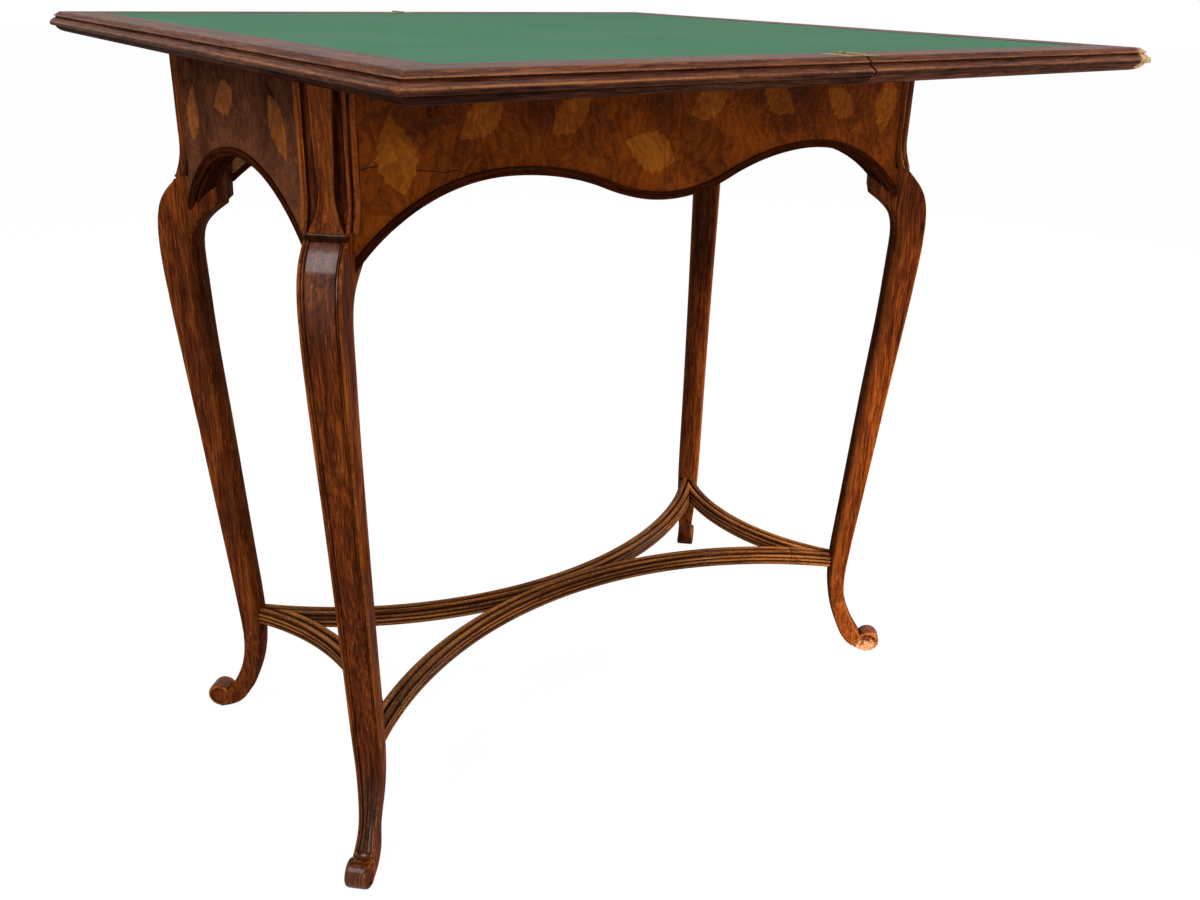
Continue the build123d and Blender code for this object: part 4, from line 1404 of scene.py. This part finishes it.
@dataclass
class Stretchers:
    """Four reeded bars bent between the legs, in millimetres."""

    half_length: float = APRON_HALF_LENGTH
    half_depth: float = APRON_HALF_DEPTH
    width: float = 20.0
    height: float = 18.0
    underside: float = 116.0
    lap: float = 4.0
    bow: float = 37.2
    inset_x: float = 28.8
    inset_y: float = 29.1
    tail: float = 9.0
    splice_place: float = 280.0
    splice_half: float = 0.8
    splice_share: float = 0.985
    rings: int = 64
    dent: float = 0.5
    dent_scale: float = 60.0
    top_edge: float = 2.2
    top_rise: float = 2.3
    top_shift: float = 0.35
    # Reed crowns are brightened as rubbing and painted highlight; the quirks are darkened as painted shade,
    # partly dirty build-up.
    top_marks: tuple[tuple[float, float], ...] = (
        (0, 1), (0, 0.7), (0.5, 0), (0.9, 0), (0.9, 0), (0.9, 0), (0.5, 0), (0, 0.7), (0, 1),
    )
    side_reeds: int = 3
    side_low: float = 0.5
    side_spared: float = 3.2
    side_bulge: float = 1.6
    side_sink: float = 1.7
    side_share: float = 0.94
    # The side reeds alike: bright crowns as rubbing and painted highlight, dark quirks as painted shade.
    side_marks: tuple[tuple[float, float], ...] = (
        (0, 1), (0, 0.8), (0.5, 0), (0.9, 0), (0.5, 0), (0, 0.8), (0, 1),
    )

    def marks(self) -> list[Mark]:
        """The reeded outline: two reeds on the top and three down each side.

        Returns:
            Marks that hold the offset across from the bar's middle and the height above its underside.
        """
        half, high = self.width / 2, self.height
        reed = half - self.top_edge
        top = []
        top_angles = np.linspace(math.pi, 0, len(self.top_marks))
        for middle in (-half / 2 + self.top_shift, half / 2 - self.top_shift):
            for angle, (wear_and_highlight, grime_and_shade) in zip(top_angles, self.top_marks):
                reach = reed / 2 * math.cos(angle)
                up = high - self.top_rise + self.top_rise * math.sin(angle)
                top.append(Mark(middle + reach, up, wear_and_highlight, grime_and_shade))
        side = []
        side_angles = np.linspace(math.pi / 2, -math.pi / 2, len(self.side_marks))
        rise = (high - self.side_spared) / self.side_reeds
        for count in reversed(range(self.side_reeds)):
            middle = self.side_low + rise * (count + 0.5)
            for angle, (wear_and_highlight, grime_and_shade) in zip(side_angles, self.side_marks):
                bulge = self.side_bulge * math.cos(angle)
                up = middle + rise / 2 * math.sin(angle) * self.side_share
                side.append(Mark(half - self.side_sink + bulge, up, wear_and_highlight, grime_and_shade))
        other = [Mark(-mark.across, mark.down, mark.wear_and_highlight, mark.grime_and_shade) for mark in reversed(side)]
        bottom = [Mark(reed, 0, 0.1, 0.2), Mark(0, 0, 0, 0.3), Mark(-reed, 0, 0.1, 0.2)]
        return top + side + bottom + other

    def corner(self) -> tuple[float, float]:
        """Where the middles of two bars meet in the leg."""
        return self.half_length - self.inset_x, self.half_depth - self.inset_y

    def radii(self) -> tuple[float, float]:
        """Works the bends out from the bars' ends and how far they bow.

        Returns:
            The radii of the long and the short bar.
        """
        end_x, end_y = self.corner()
        rise = end_y - self.width / 2 + self.lap
        return (end_x**2 + rise**2) / (2 * rise), (end_y**2 + self.bow**2) / (2 * self.bow)

    def mitre_direction(self) -> Vector:
        """The line that halves the angle between two bars, as it leaves the front left leg.

        Returns:
            Its direction.
        """
        end_x, end_y = self.corner()
        long_radius, short_radius = self.radii()
        long_side = long_radius + self.width / 2 - self.lap - end_y
        along = long_side / long_radius + end_y / short_radius
        up = end_x / long_radius + (short_radius - self.bow) / short_radius
        return Vector((along, up, 0)).normalized()

    def bar(self, centre: Vector, radius: float, start: float, end: float,
            splices: Sequence[float] = ()) -> bmesh.types.BMesh:
        """A bent bar round a centre between two angles.

        Args:
            centre: the middle of the bend.
            radius: from there to the middle of the bar.
            start: the first angle.
            end: the last angle.
            splices: the angles at which two lengths of wood meet in a dirty hairline.

        Returns:
            The bar, with dented reeds.
        """
        sections = []
        marks = self.marks()
        line = self.splice_half / radius
        near = [(angle + offset, offset == 0) for angle in splices for offset in (-line, 0, line)]
        plain = [
            (angle, False) for angle in np.linspace(start, end, self.rings)
            if all(abs(angle - splice) > 3 * line for splice in splices)
        ]
        for angle, split in sorted(near + plain, reverse=start > end):
            out = Vector((math.cos(angle), math.sin(angle), 0))
            tight = self.splice_share if split else 1.0
            points = [
                (centre + out * (radius + mark.across * tight)) * MM
                + Vector((0, 0, (self.underside + mark.down * tight) * MM))
                for mark in marks
            ]
            dirt_and_shade = [1.0 if split else mark.grime_and_shade for mark in marks]
            sections.append(Section(points, [0.0 if split else mark.wear_and_highlight for mark in marks], dirt_and_shade))
        mesh = sweep(sections)
        knock(mesh, self.dent * MM, self.dent_scale)
        return mesh

    def long_bar(self, spliced: bool) -> bmesh.types.BMesh:
        """The front bar, flat where it meets its twin and mitred against the short ones.

        Args:
            spliced: whether it shows where lengths of wood were joined.

        Returns:
            The bar.
        """
        end_x, end_y = self.corner()
        radius = self.radii()[0]
        centre = Vector((0, -(radius + self.width / 2 - self.lap), 0))
        reach = math.asin(end_x / radius) + self.tail / radius
        turn = math.asin(self.splice_place / radius)
        splices = (math.pi / 2 + turn, math.pi / 2 - turn) if spliced else ()
        mesh = self.bar(centre, radius, math.pi / 2 + reach, math.pi / 2 - reach, splices)
        cut(mesh, Vector((0, 0, 0)), Vector((0, 1, 0)))
        line = self.mitre_direction()
        for side in (-1, 1):
            point = Vector((side * end_x, -end_y, 0)) * MM
            cut(mesh, point, Vector((line.y * side, line.x, 0)))
        return mesh

    def short_bar(self) -> bmesh.types.BMesh:
        """The left bar, mitred against the long ones.

        Returns:
            The bar.
        """
        end_x, end_y = self.corner()
        radius = self.radii()[1]
        centre = Vector((-(end_x - self.bow + radius), 0, 0))
        reach = math.asin(end_y / radius) + self.tail / radius
        mesh = self.bar(centre, radius, -reach, reach)
        line = self.mitre_direction()
        for side in (-1, 1):
            point = Vector((-end_x, side * end_y, 0)) * MM
            cut(mesh, point, Vector((line.y, line.x * side, 0)))
        return mesh

    def build(self) -> None:
        """Bends, cuts and dresses the four bars."""
        # Its bright rubbed colour also serves as the painted highlight on the reed crowns.
        finish = Wood("beech_stained_bars", grain=Grain.ALONG_PIECE, figure=0.5, gloss=0.26, coat=0.12,
                      dark=srgb(30, 12, 4), middle=srgb(72, 33, 11), light=srgb(118, 62, 24),
                      worn_and_highlight=srgb(196, 128, 64)).material()
        for side in ("front", "back", "left", "right"):
            mesh = self.short_bar() if side in ("left", "right") else self.long_bar(side == "front")
            if side in ("back", "right"):
                bmesh.ops.transform(mesh, matrix=HALF_TURN, verts=mesh.verts[:])
            add_piece(mesh, "reeded_bar_" + side, "base", finish, ("stretcher_" + side,))


# Top


@dataclass
class Leaf:
    """One leaf of the top: board, mitred mouldings and baize, in millimetres, drawn left of the seam.

    The edge's marks give the offset inward from its outermost line and the depth below the top.
    """

    name: str
    body: str
    side: int
    height: float = 750.0
    width: float = 393.0
    half_length: float = 387.0
    border: float = 46.0
    seam: float = 0.15
    baize_thickness: float = 1.3
    hinge_middle: float = -359.0
    hinge_length: float = 30.0
    hinge_width: float = 18.0
    hinge_depth: float = 1.5
    knuckle: float = 2.5
    pocket_over: float = 4.0
    pocket_room: float = 0.2
    knuckle_room: float = 0.6
    corner_reach: float = 12.0
    corner_rub: float = 3.0
    # Below this depth the moulding's underside takes painted shade, full on the fixed leaf and less on the
    # folding one.
    lower_from: float = 13.4
    lower_shade: float = 1.0
    upper_polish: float = 0.25
    ring_gap: float = 9.0
    seam_rings: tuple[float, float] = (0.0, 1.5)
    first_ring: float = 3.5
    dent: float = 0.55
    dent_scale: float = 55.0
    seam_face: float = 0.5
    seam_reach: float = 2.2
    seam_darkening: float = 0.35
    seam_shrink: float = 0.97
    seam_rub: tuple[float, float] = (1.0, 0.4)
    seam_start: tuple[float, float] = (-14, -4)
    seam_noise: Point = (3.0, 900, 700)
    baize_grid: tuple[int, int] = (58, 114)
    baize_waves: tuple[tuple[float, float], ...] = ((30, 0.12), (160, 0.05))
    baize_lowest: float = 0.6
    baize_turn: tuple[float, float] = (0.35, 1.5)
    # Arrises are brightened as rubbing and painted highlight; slopes, grooves and the underside are darkened
    # as painted shade, partly dirty build-up.
    edge_marks: tuple[Mark, ...] = (
        Mark(46, 0), Mark(28, 0), Mark(13, 0), Mark(11.2, 0.02, 0.2), Mark(10.4, 0.25, 0.5),
        Mark(9.9, 0.8, 0.2, 0.1), Mark(8.4, 1.9, 0, 0.25), Mark(6.6, 3.0, 0.1, 0.2), Mark(5.8, 3.5, 1),
        Mark(5.5, 3.95, 0.9), Mark(5.7, 4.3, 0, 0.4), Mark(7.1, 4.6, 0, 0.8), Mark(7.2, 5.2, 0, 0.8),
        Mark(6.6, 5.6, 0, 0.45), Mark(4.4, 6.9, 0, 0.3), Mark(2.2, 8.3, 0.1, 0.2), Mark(0.9, 9.1, 0.9),
        Mark(0.3, 9.6, 1), Mark(0.05, 10.2, 0.2, 0.3), Mark(0, 11.2, 0, 0.65), Mark(0.1, 12.3, 0, 0.7),
        Mark(0.6, 13.0, 0.1, 0.6), Mark(1.6, 13.3, 0, 0.8), Mark(4.9, 13.5, 0, 1), Mark(5.6, 13.9, 0, 1),
        Mark(6.1, 14.9, 0, 0.9), Mark(7.3, 16.6, 0, 0.8), Mark(9.3, 18.2, 0, 0.8),
        Mark(12.0, 19.4, 0, 0.8), Mark(14.8, 20.0, 0.2, 0.6), Mark(30, 20.0, 0, 0.6), Mark(46, 20.0, 0, 0.6),
    )

    def cloth_size(self) -> tuple[float, float]:
        """The baize across the leaf and along it."""
        return self.width - self.border - self.seam, 2 * (self.half_length - self.border)

    def strip(self, length: float, place: Callable[[float, Mark], Vector]) -> bmesh.types.BMesh:
        """A straight length of moulding.

        Args:
            length: how long it is.
            place: gives the point for a distance along the strip and a mark of the outline.

        Returns:
            The strip, with dented arrises.
        """
        steps = int(length / self.ring_gap)
        marks = self.edge_marks
        wear_and_highlight = [mark.wear_and_highlight for mark in marks]
        # Painted shade on the underside of the moulding, scaled for each leaf.
        grime_and_shade = [mark.grime_and_shade * (self.lower_shade if mark.down > self.lower_from else 1) for mark in marks]
        polish = [self.upper_polish if mark.down < self.lower_from else 0.0 for mark in marks]
        mesh = sweep([
            Section([place(along, mark) * MM for mark in marks], wear_and_highlight, grime_and_shade, polish)
            for along in (*self.seam_rings, *np.linspace(self.first_ring, length, steps))
        ])
        knock(mesh, self.dent * MM, self.dent_scale)
        return mesh

    def end_strip(self) -> bmesh.types.BMesh:
        """The moulding along the front end, from the seam to the mitred outer corner.

        Returns:
            The strip, with room for the hinge.
        """

        def place(along: float, mark: Mark) -> Vector:
            """A point of the strip along the front."""
            return Vector((-self.seam - along, -self.half_length + mark.across, self.height - mark.down))

        mesh = self.strip(self.width - self.seam, place)
        self.open_seam(mesh)
        corner = Vector((-self.width, -self.half_length, 0)) * MM
        cut(mesh, corner, Vector((-1, 1, 0)).normalized())
        self.blunt(mesh, corner)
        return self.pocketed(mesh)

    def side_strip(self) -> bmesh.types.BMesh:
        """The moulding along the outer side, mitred at both corners.

        Returns:
            The strip.
        """

        def place(along: float, mark: Mark) -> Vector:
            """A point of the strip along the side."""
            return Vector((-self.width + mark.across, -self.half_length + along, self.height - mark.down))

        mesh = self.strip(2 * self.half_length, place)
        for side in (-1, 1):
            corner = Vector((-self.width, side * self.half_length, 0)) * MM
            cut(mesh, corner, Vector((1, side, 0)).normalized())
            self.blunt(mesh, corner)
        return mesh

    def open_seam(self, mesh: bmesh.types.BMesh) -> None:
        """Rubs the end at the seam back unevenly along its mouldings and darkens the end and the strip
        beside it.

        Args:
            mesh: the strip.
        """
        grime_and_shade = mesh.verts.layers.float["grime_and_shade"]
        end = -self.seam_face * MM
        face = [vert for vert in mesh.verts if vert.co.x > end]
        middle = sum((vert.co for vert in face), Vector()) / len(face)
        for vert in mesh.verts:
            if vert.co.x > -self.seam_reach * MM:
                vert[grime_and_shade] = 1.0 if vert.co.x > end else self.seam_darkening
        deep, uneven = self.seam_rub
        shift, across, up = self.seam_noise
        for vert in face:
            vert.co = middle + (vert.co - middle) * self.seam_shrink
            outer = blend(*self.seam_start, -(vert.co.y / MM + self.half_length))
            place = Vector((self.side * shift, vert.co.y * across, vert.co.z * up))
            vert.co.x -= max(0.0, deep + uneven * noise.noise(place)) * outer * MM

    def blunt(self, mesh: bmesh.types.BMesh, corner: Vector) -> None:
        """Rubs the pointed corner of the moulding round.

        Args:
            mesh: the strip.
            corner: where the corner's point is.
        """
        reach = self.corner_reach * MM
        inward = Vector((-corner.x, -corner.y, 0)).normalized()
        for vert in mesh.verts:
            away = (Vector((vert.co.x, vert.co.y, 0)) - corner).length
            if away < reach:
                vert.co += inward * (self.corner_rub * MM * (1 - away / reach) ** 2)

    def pocketed(self, mesh: bmesh.types.BMesh) -> bmesh.types.BMesh:
        """Cuts the room for the hinge plate and its knuckles out of a strip.

        Args:
            mesh: the strip, which is freed.

        Returns:
            The strip with its pocket.
        """
        pocket = bmesh.new()
        over, long = self.pocket_over, self.hinge_length
        size = Vector((self.hinge_width + over, long + self.pocket_room, self.hinge_depth + over)) * MM
        middle = Vector((
            (over - self.hinge_width) / 2, self.hinge_middle, self.height + (over - self.hinge_depth) / 2,
        )) * MM
        place = Matrix.Translation(middle) @ Matrix.Diagonal((*size, 1))
        bmesh.ops.create_cube(pocket, size=1.0, matrix=place)
        barrel = bmesh.new()
        axis = Matrix.Translation(Vector((0, self.hinge_middle, self.height + self.seam)) * MM)
        axis = axis @ Matrix.Rotation(math.pi / 2, 4, "X")
        radius = self.knuckle * MM
        bmesh.ops.create_cone(barrel, cap_ends=True, segments=32, radius1=radius, radius2=radius,
                              depth=(long + self.knuckle_room) * MM, matrix=axis)
        return carve(carve(mesh, pocket), barrel)

    def place_leaf(self, mesh: bmesh.types.BMesh, flipped: bool) -> bmesh.types.BMesh:
        """Mirrors a part to this leaf's side of the seam.

        Args:
            mesh: the part, as it is on the left and at the front.
            flipped: whether it goes to the back end.

        Returns:
            The same part, moved.
        """
        scale = Matrix.Diagonal((-self.side, -1 if flipped else 1, 1, 1))
        bmesh.ops.transform(mesh, matrix=scale, verts=mesh.verts[:])
        return mesh

    def baize(self) -> bmesh.types.BMesh:
        """The cloth: a thin sheet, very slightly uneven, with its edges turned down to the border.

        Returns:
            The cloth in its place.
        """
        wide, long = self.cloth_size()
        mesh = bmesh.new()
        middle = Vector((self.side * (self.seam + wide / 2), 0, self.height)) * MM
        place = Matrix.Translation(middle) @ Matrix.Diagonal((wide / 2 * MM, long / 2 * MM, 1, 1))
        columns, rows = self.baize_grid
        bmesh.ops.create_grid(mesh, x_segments=columns, y_segments=rows, size=1.0, matrix=place)
        bottom = -self.baize_thickness * MM
        drop, run = self.baize_turn
        for vert in mesh.verts:
            edge = min(wide / 2 * MM - abs(vert.co.x - middle.x), long / 2 * MM - abs(vert.co.y))
            uneven = sum(
                (noise.noise(vert.co * scale) - self.baize_lowest) * rise for scale, rise in self.baize_waves
            )
            vert.co.z += (uneven - drop * math.exp(-edge / (run * MM))) * MM
        grown = bmesh.ops.extrude_face_region(mesh, geom=mesh.faces[:])["geom"]
        for item in grown:
            if isinstance(item, bmesh.types.BMVert):
                item.co.z = self.height * MM + bottom
        return mesh

    def build(self, edges: Sequence[bpy.types.Material], cloth: bpy.types.Material,
              board: bpy.types.Material) -> None:
        """Builds and dresses the leaf's pieces.

        Args:
            edges: finishes of the mouldings at the ends and along the side.
            cloth: finish of the baize.
            board: finish of the core.
        """
        strips = {
            "front": (self.place_leaf(self.end_strip(), False), edges[0]),
            "back": (self.place_leaf(self.end_strip(), True), edges[0]),
            "side": (self.place_leaf(self.side_strip(), False), edges[1]),
        }
        for end, (strip, finish) in strips.items():
            node = f"{self.name}_border_{end}"
            add_piece(strip, f"{self.name}_moulding_{end}", self.body, finish, (node,))
        node = f"{self.name}_leaf_baize"
        sheet = add_piece(self.baize(), f"{self.name}_baize", self.body, cloth, (node,))
        dress(f"{self.name}_leaf_board", board)


def carve(mesh: bmesh.types.BMesh, tool: bmesh.types.BMesh) -> bmesh.types.BMesh:
    """Takes a cutter's shape out of a closed piece.

    Args:
        mesh: the piece, which is freed.
        tool: the cutter, which is freed.

    Returns:
        The piece with the cut.
    """
    holders = []
    for shape in (mesh, tool):
        bmesh.ops.recalc_face_normals(shape, faces=shape.faces[:])
        data = bpy.data.meshes.new("shape")
        shape.to_mesh(data)
        shape.free()
        holder = bpy.data.objects.new("shape", data)
        bpy.context.scene.collection.objects.link(holder)
        holders.append(holder)
    body, cutter = holders
    modifier = body.modifiers.new("cut", "BOOLEAN")
    modifier.operation = "DIFFERENCE"
    modifier.solver = "EXACT"
    modifier.object = cutter
    bpy.context.view_layer.update()
    result = bpy.data.meshes.new_from_object(body.evaluated_get(bpy.context.evaluated_depsgraph_get()))
    made = bmesh.new()
    made.from_mesh(result)
    for holder in holders:
        data = holder.data
        bpy.data.objects.remove(holder)
        bpy.data.meshes.remove(data)
    bpy.data.meshes.remove(result)
    return made


@dataclass
class Top:
    """The two leaves with the hinges between them."""

    worn_corner: Scuff = Scuff((0.391, -0.385, 0.741), 21 * MM, 1.0)
    # The folding leaf's lower moulding gets less painted shade, as a lit copy of the same moulding.
    folding_lower_shade: float = 0.35
    hinge_axis: float = 750.15 * MM
    hinge_rounding: float = 0.1 * MM
    barrel_radius: float = 2.3 * MM
    barrel_slim: float = 0.4

    def build(self) -> None:
        """Builds both leaves and dresses the hinges."""
        board = Wood("leaf_mahogany", srgb(58, 26, 14), srgb(98, 48, 26), srgb(134, 74, 42),
                     srgb(160, 100, 62), Grain.DEPTH, gloss=0.42, coat=0.1).material()
        cloth = Cloth("baize_green", srgb(68, 108, 84), srgb(98, 140, 114), srgb(100, 134, 112)).material()
        leaves = (
            (Leaf("fixed", "swivel_top", -1), ()),
            (Leaf("folding", "folding_leaf", 1, lower_shade=self.folding_lower_shade), (self.worn_corner,)),
        )
        runs = (Grain.LENGTH, Grain.DEPTH)
        for leaf, scuffs in leaves:
            edges = [self.edge_wood(leaf.name, run, scuffs).material() for run in runs]
            leaf.build(edges, cloth, board)
        self.hinges()

    @staticmethod
    def edge_wood(leaf: str, grain: Grain, scuffs: tuple[Scuff, ...]) -> Wood:
        """Walnut of one leaf's mouldings, with its bare places."""
        return Wood(f"edge_walnut_{leaf}_{grain.value}", grain=grain, gloss=0.24, coat=0.08, figure=0.6,
                    scuffs=scuffs, bare=srgb(206, 184, 140), **EDGE_TONES)

    def hinges(self) -> None:
        """Dresses the hinges in darkened brass, with rounded edges."""
        brass = Metal("brass_aged", srgb(134, 113, 72), srgb(98, 80, 50), 0.44, 0.4).material()
        bodies = {
            "hinge_plates_fixed": "swivel_top", "hinge_screws_fixed": "swivel_top",
            "hinge_pins": "swivel_top", "hinge_plates_folding": "folding_leaf",
            "hinge_screws_folding": "folding_leaf",
        }
        for node, body in bodies.items():
            mesh = merged(node)
            self.slim(mesh)
            soften(mesh, self.hinge_rounding)
            add_piece(mesh, "aged_" + node, body, brass, (node,), sharp=METAL_SHARP)

    def slim(self, mesh: bmesh.types.BMesh) -> None:
        """Draws the barrel of a hinge in, close round the line that it turns on.

        Args:
            mesh: a piece of the hinge.
        """
        for vert in mesh.verts:
            off = Vector((vert.co.x, 0, vert.co.z - self.hinge_axis))
            if off.length < self.barrel_radius:
                vert.co -= off * self.barrel_slim


# Under the top


@dataclass
class CardWell:
    """The cross rail, the well beside it, its lining, and the steel pivot and stop."""

    steel_rounding: float = 0.15 * MM
    upward: float = 0.9

    def build(self) -> None:
        """Dresses the hidden pieces and lays the lining."""
        carcase = Wood("carcase_pine_inner", srgb(92, 60, 36), srgb(134, 94, 58), srgb(166, 124, 80),
                       srgb(182, 142, 96), Grain.DEPTH, gloss=0.6, coat=0.0).material()
        for node in ("cross_rail", "well_floor", "well_bearers", "well_divider", "stop_block"):
            dress(node, carcase)
        self.lining()
        steel = Metal("steel_dull", srgb(150, 148, 144), srgb(74, 62, 54), 0.36, 0.6).material()
        for node in ("pivot_plate", "pivot_screws", "pivot_washer", "pivot_nut", "stop_screws"):
            mesh = merged(node)
            soften(mesh, self.steel_rounding)
            add_piece(mesh, "dull_" + node, "swivel_top", steel, (node,), sharp=METAL_SHARP)

    def lining(self) -> None:
        """Lays the cloth on the floor of the well."""
        cloth = Cloth("lining_green", srgb(40, 74, 52), srgb(84, 122, 92), srgb(92, 122, 96)).material()
        mesh = merged("well_lining")
        area = sum(face.calc_area() for face in mesh.faces if face.normal.z > self.upward)
        sheet = add_piece(mesh, "well_lining_cloth", "base", cloth, ("well_lining",))


# Room


@dataclass(frozen=True)
class Lamp:
    """A lamp: where it stands, the point that it looks at, its size, its power and its colour."""

    name: str
    place: Point
    target: Point
    size: float
    power: float
    colour: Point

    def stand(self, data: bpy.types.Light) -> None:
        """Stands the lamp in its place and turns it to its point.

        Args:
            data: the kind of light that it gives.
        """
        data.energy = self.power
        data.color = self.colour
        lamp = bpy.data.objects.new(self.name, data)
        lamp.location = self.place
        lamp.rotation_euler = (Vector(self.target) - Vector(self.place)).to_track_quat("-Z", "Y").to_euler()
        bpy.context.scene.collection.objects.link(lamp)


@dataclass
class Studio:
    """Pale floor, soft light and the camera."""

    camera_place: Point = (-0.6932, -0.9651, 0.8037)
    yaw: float = -37.63
    tilt: float = -22.96
    roll: float = 1.59
    lens: float = 33.99
    sensor: float = 36.0
    floor_size: float = 30.0
    floor_colour: Colour = (0.6, 0.6, 0.6, 1.0)
    floor_white: float = 1.06
    floor_share: float = 0.9
    plain_light: Colour = (0.95, 0.97, 1.0, 1.0)
    plain_level: float = 0.5
    white: Colour = (1.0, 1.0, 1.0, 1.0)
    soft_lamps: tuple[Lamp, ...] = (
        Lamp("sky", (-2.1, -0.5, 2.6), (0.0, 0.0, 0.6), 1.5, 40.0, (0.86, 0.92, 1.0)),
        Lamp("above", (0.6, 0.9, 3.0), (0.0, 0.0, 0.7), 2.0, 14.0, (1.0, 0.98, 0.95)),
        Lamp("front", (-1.7, -2.5, 1.2), (0.0, 0.0, 0.45), 1.3, 26.0, (1.0, 0.97, 0.94)),
        Lamp("side", (2.55, -0.7, 1.1), (0.0, 0.0, 0.4), 1.0, 70.0, (1.0, 0.93, 0.82)),
    )
    sun: Lamp = Lamp("sun_patch", (0.0, -2.6, 1.2), (0.62, -0.1, 0.15), 0.08, 560.0, (1.0, 0.94, 0.84))
    sun_angle: float = 17.0
    sun_blend: float = 0.08

    def build(self) -> None:
        """Sets the floor, the lights, the world and the camera."""
        self.floor()
        self.world()
        self.lights()
        self.camera()
        bpy.context.scene.view_settings.view_transform = "Standard"

    def floor(self) -> None:
        """A wide white floor that keeps the shadow of the table."""
        mesh = bmesh.new()
        bmesh.ops.create_grid(mesh, x_segments=1, y_segments=1, size=self.floor_size / 2)
        data = bpy.data.meshes.new("floor")
        mesh.to_mesh(data)
        mesh.free()
        floor = bpy.data.objects.new("floor", data)
        bpy.context.scene.collection.objects.link(floor)
        shader = Shader("floor_white")
        shader.feed("Base Color", self.floor_colour)
        shader.feed("Roughness", 0.9)
        shader.feed("Specular IOR Level", 0.1)
        glow = shader.node("ShaderNodeEmission", {}, {"Strength": self.floor_white})
        shader.show(shader.blended(shader.seen() * self.floor_share, shader.surface, glow))
        data.materials.append(shader.material)

    def world(self) -> None:
        """A white surround for the camera and reflections, and a plain level for the light."""
        world = bpy.data.worlds.new("surround")
        world.use_nodes = True
        bpy.context.scene.world = world
        nodes = Nodes(world.node_tree, "ShaderNodeOutputWorld")
        plain = {"Color": self.plain_light, "Strength": self.plain_level}
        ambient = nodes.node("ShaderNodeBackground", {}, plain)
        white = nodes.node("ShaderNodeBackground", {}, {"Color": self.white})
        nodes.show(nodes.blended(nodes.seen(), ambient, white))

    def lights(self) -> None:
        """Stands the soft square lamps, and a narrow warm beam that lights the right leg from the front."""
        for lamp in self.soft_lamps:
            data = bpy.data.lights.new(lamp.name, "AREA")
            data.size = lamp.size
            lamp.stand(data)
        data = bpy.data.lights.new(self.sun.name, "SPOT")
        data.shadow_soft_size = self.sun.size
        data.spot_size = math.radians(self.sun_angle)
        data.spot_blend = self.sun_blend
        self.sun.stand(data)

    def camera(self) -> None:
        """Stands the camera where the photograph was taken from."""
        data = bpy.data.cameras.new("camera")
        data.sensor_fit = "HORIZONTAL"
        data.sensor_width = self.sensor
        data.lens = self.lens
        camera = bpy.data.objects.new("camera", data)
        turn = Matrix.Rotation(math.radians(self.yaw), 4, "Z")
        turn = turn @ Matrix.Rotation(math.radians(90 + self.tilt), 4, "X")
        turn = turn @ Matrix.Rotation(math.radians(self.roll), 4, "Z")
        camera.matrix_world = Matrix.Translation(self.camera_place) @ turn
        bpy.context.scene.collection.objects.link(camera)
        bpy.context.scene.camera = camera


def main() -> None:
    """Builds and dresses every sub-assembly in order."""
    logging.basicConfig(level=logging.INFO, format="%(message)s")
    for part in (Legs(), Apron(), Stretchers(), Top(), CardWell(), Studio()):
        LOG.info("building %s", type(part).__name__)
        part.build()


if __name__ == "__main__":
    main()
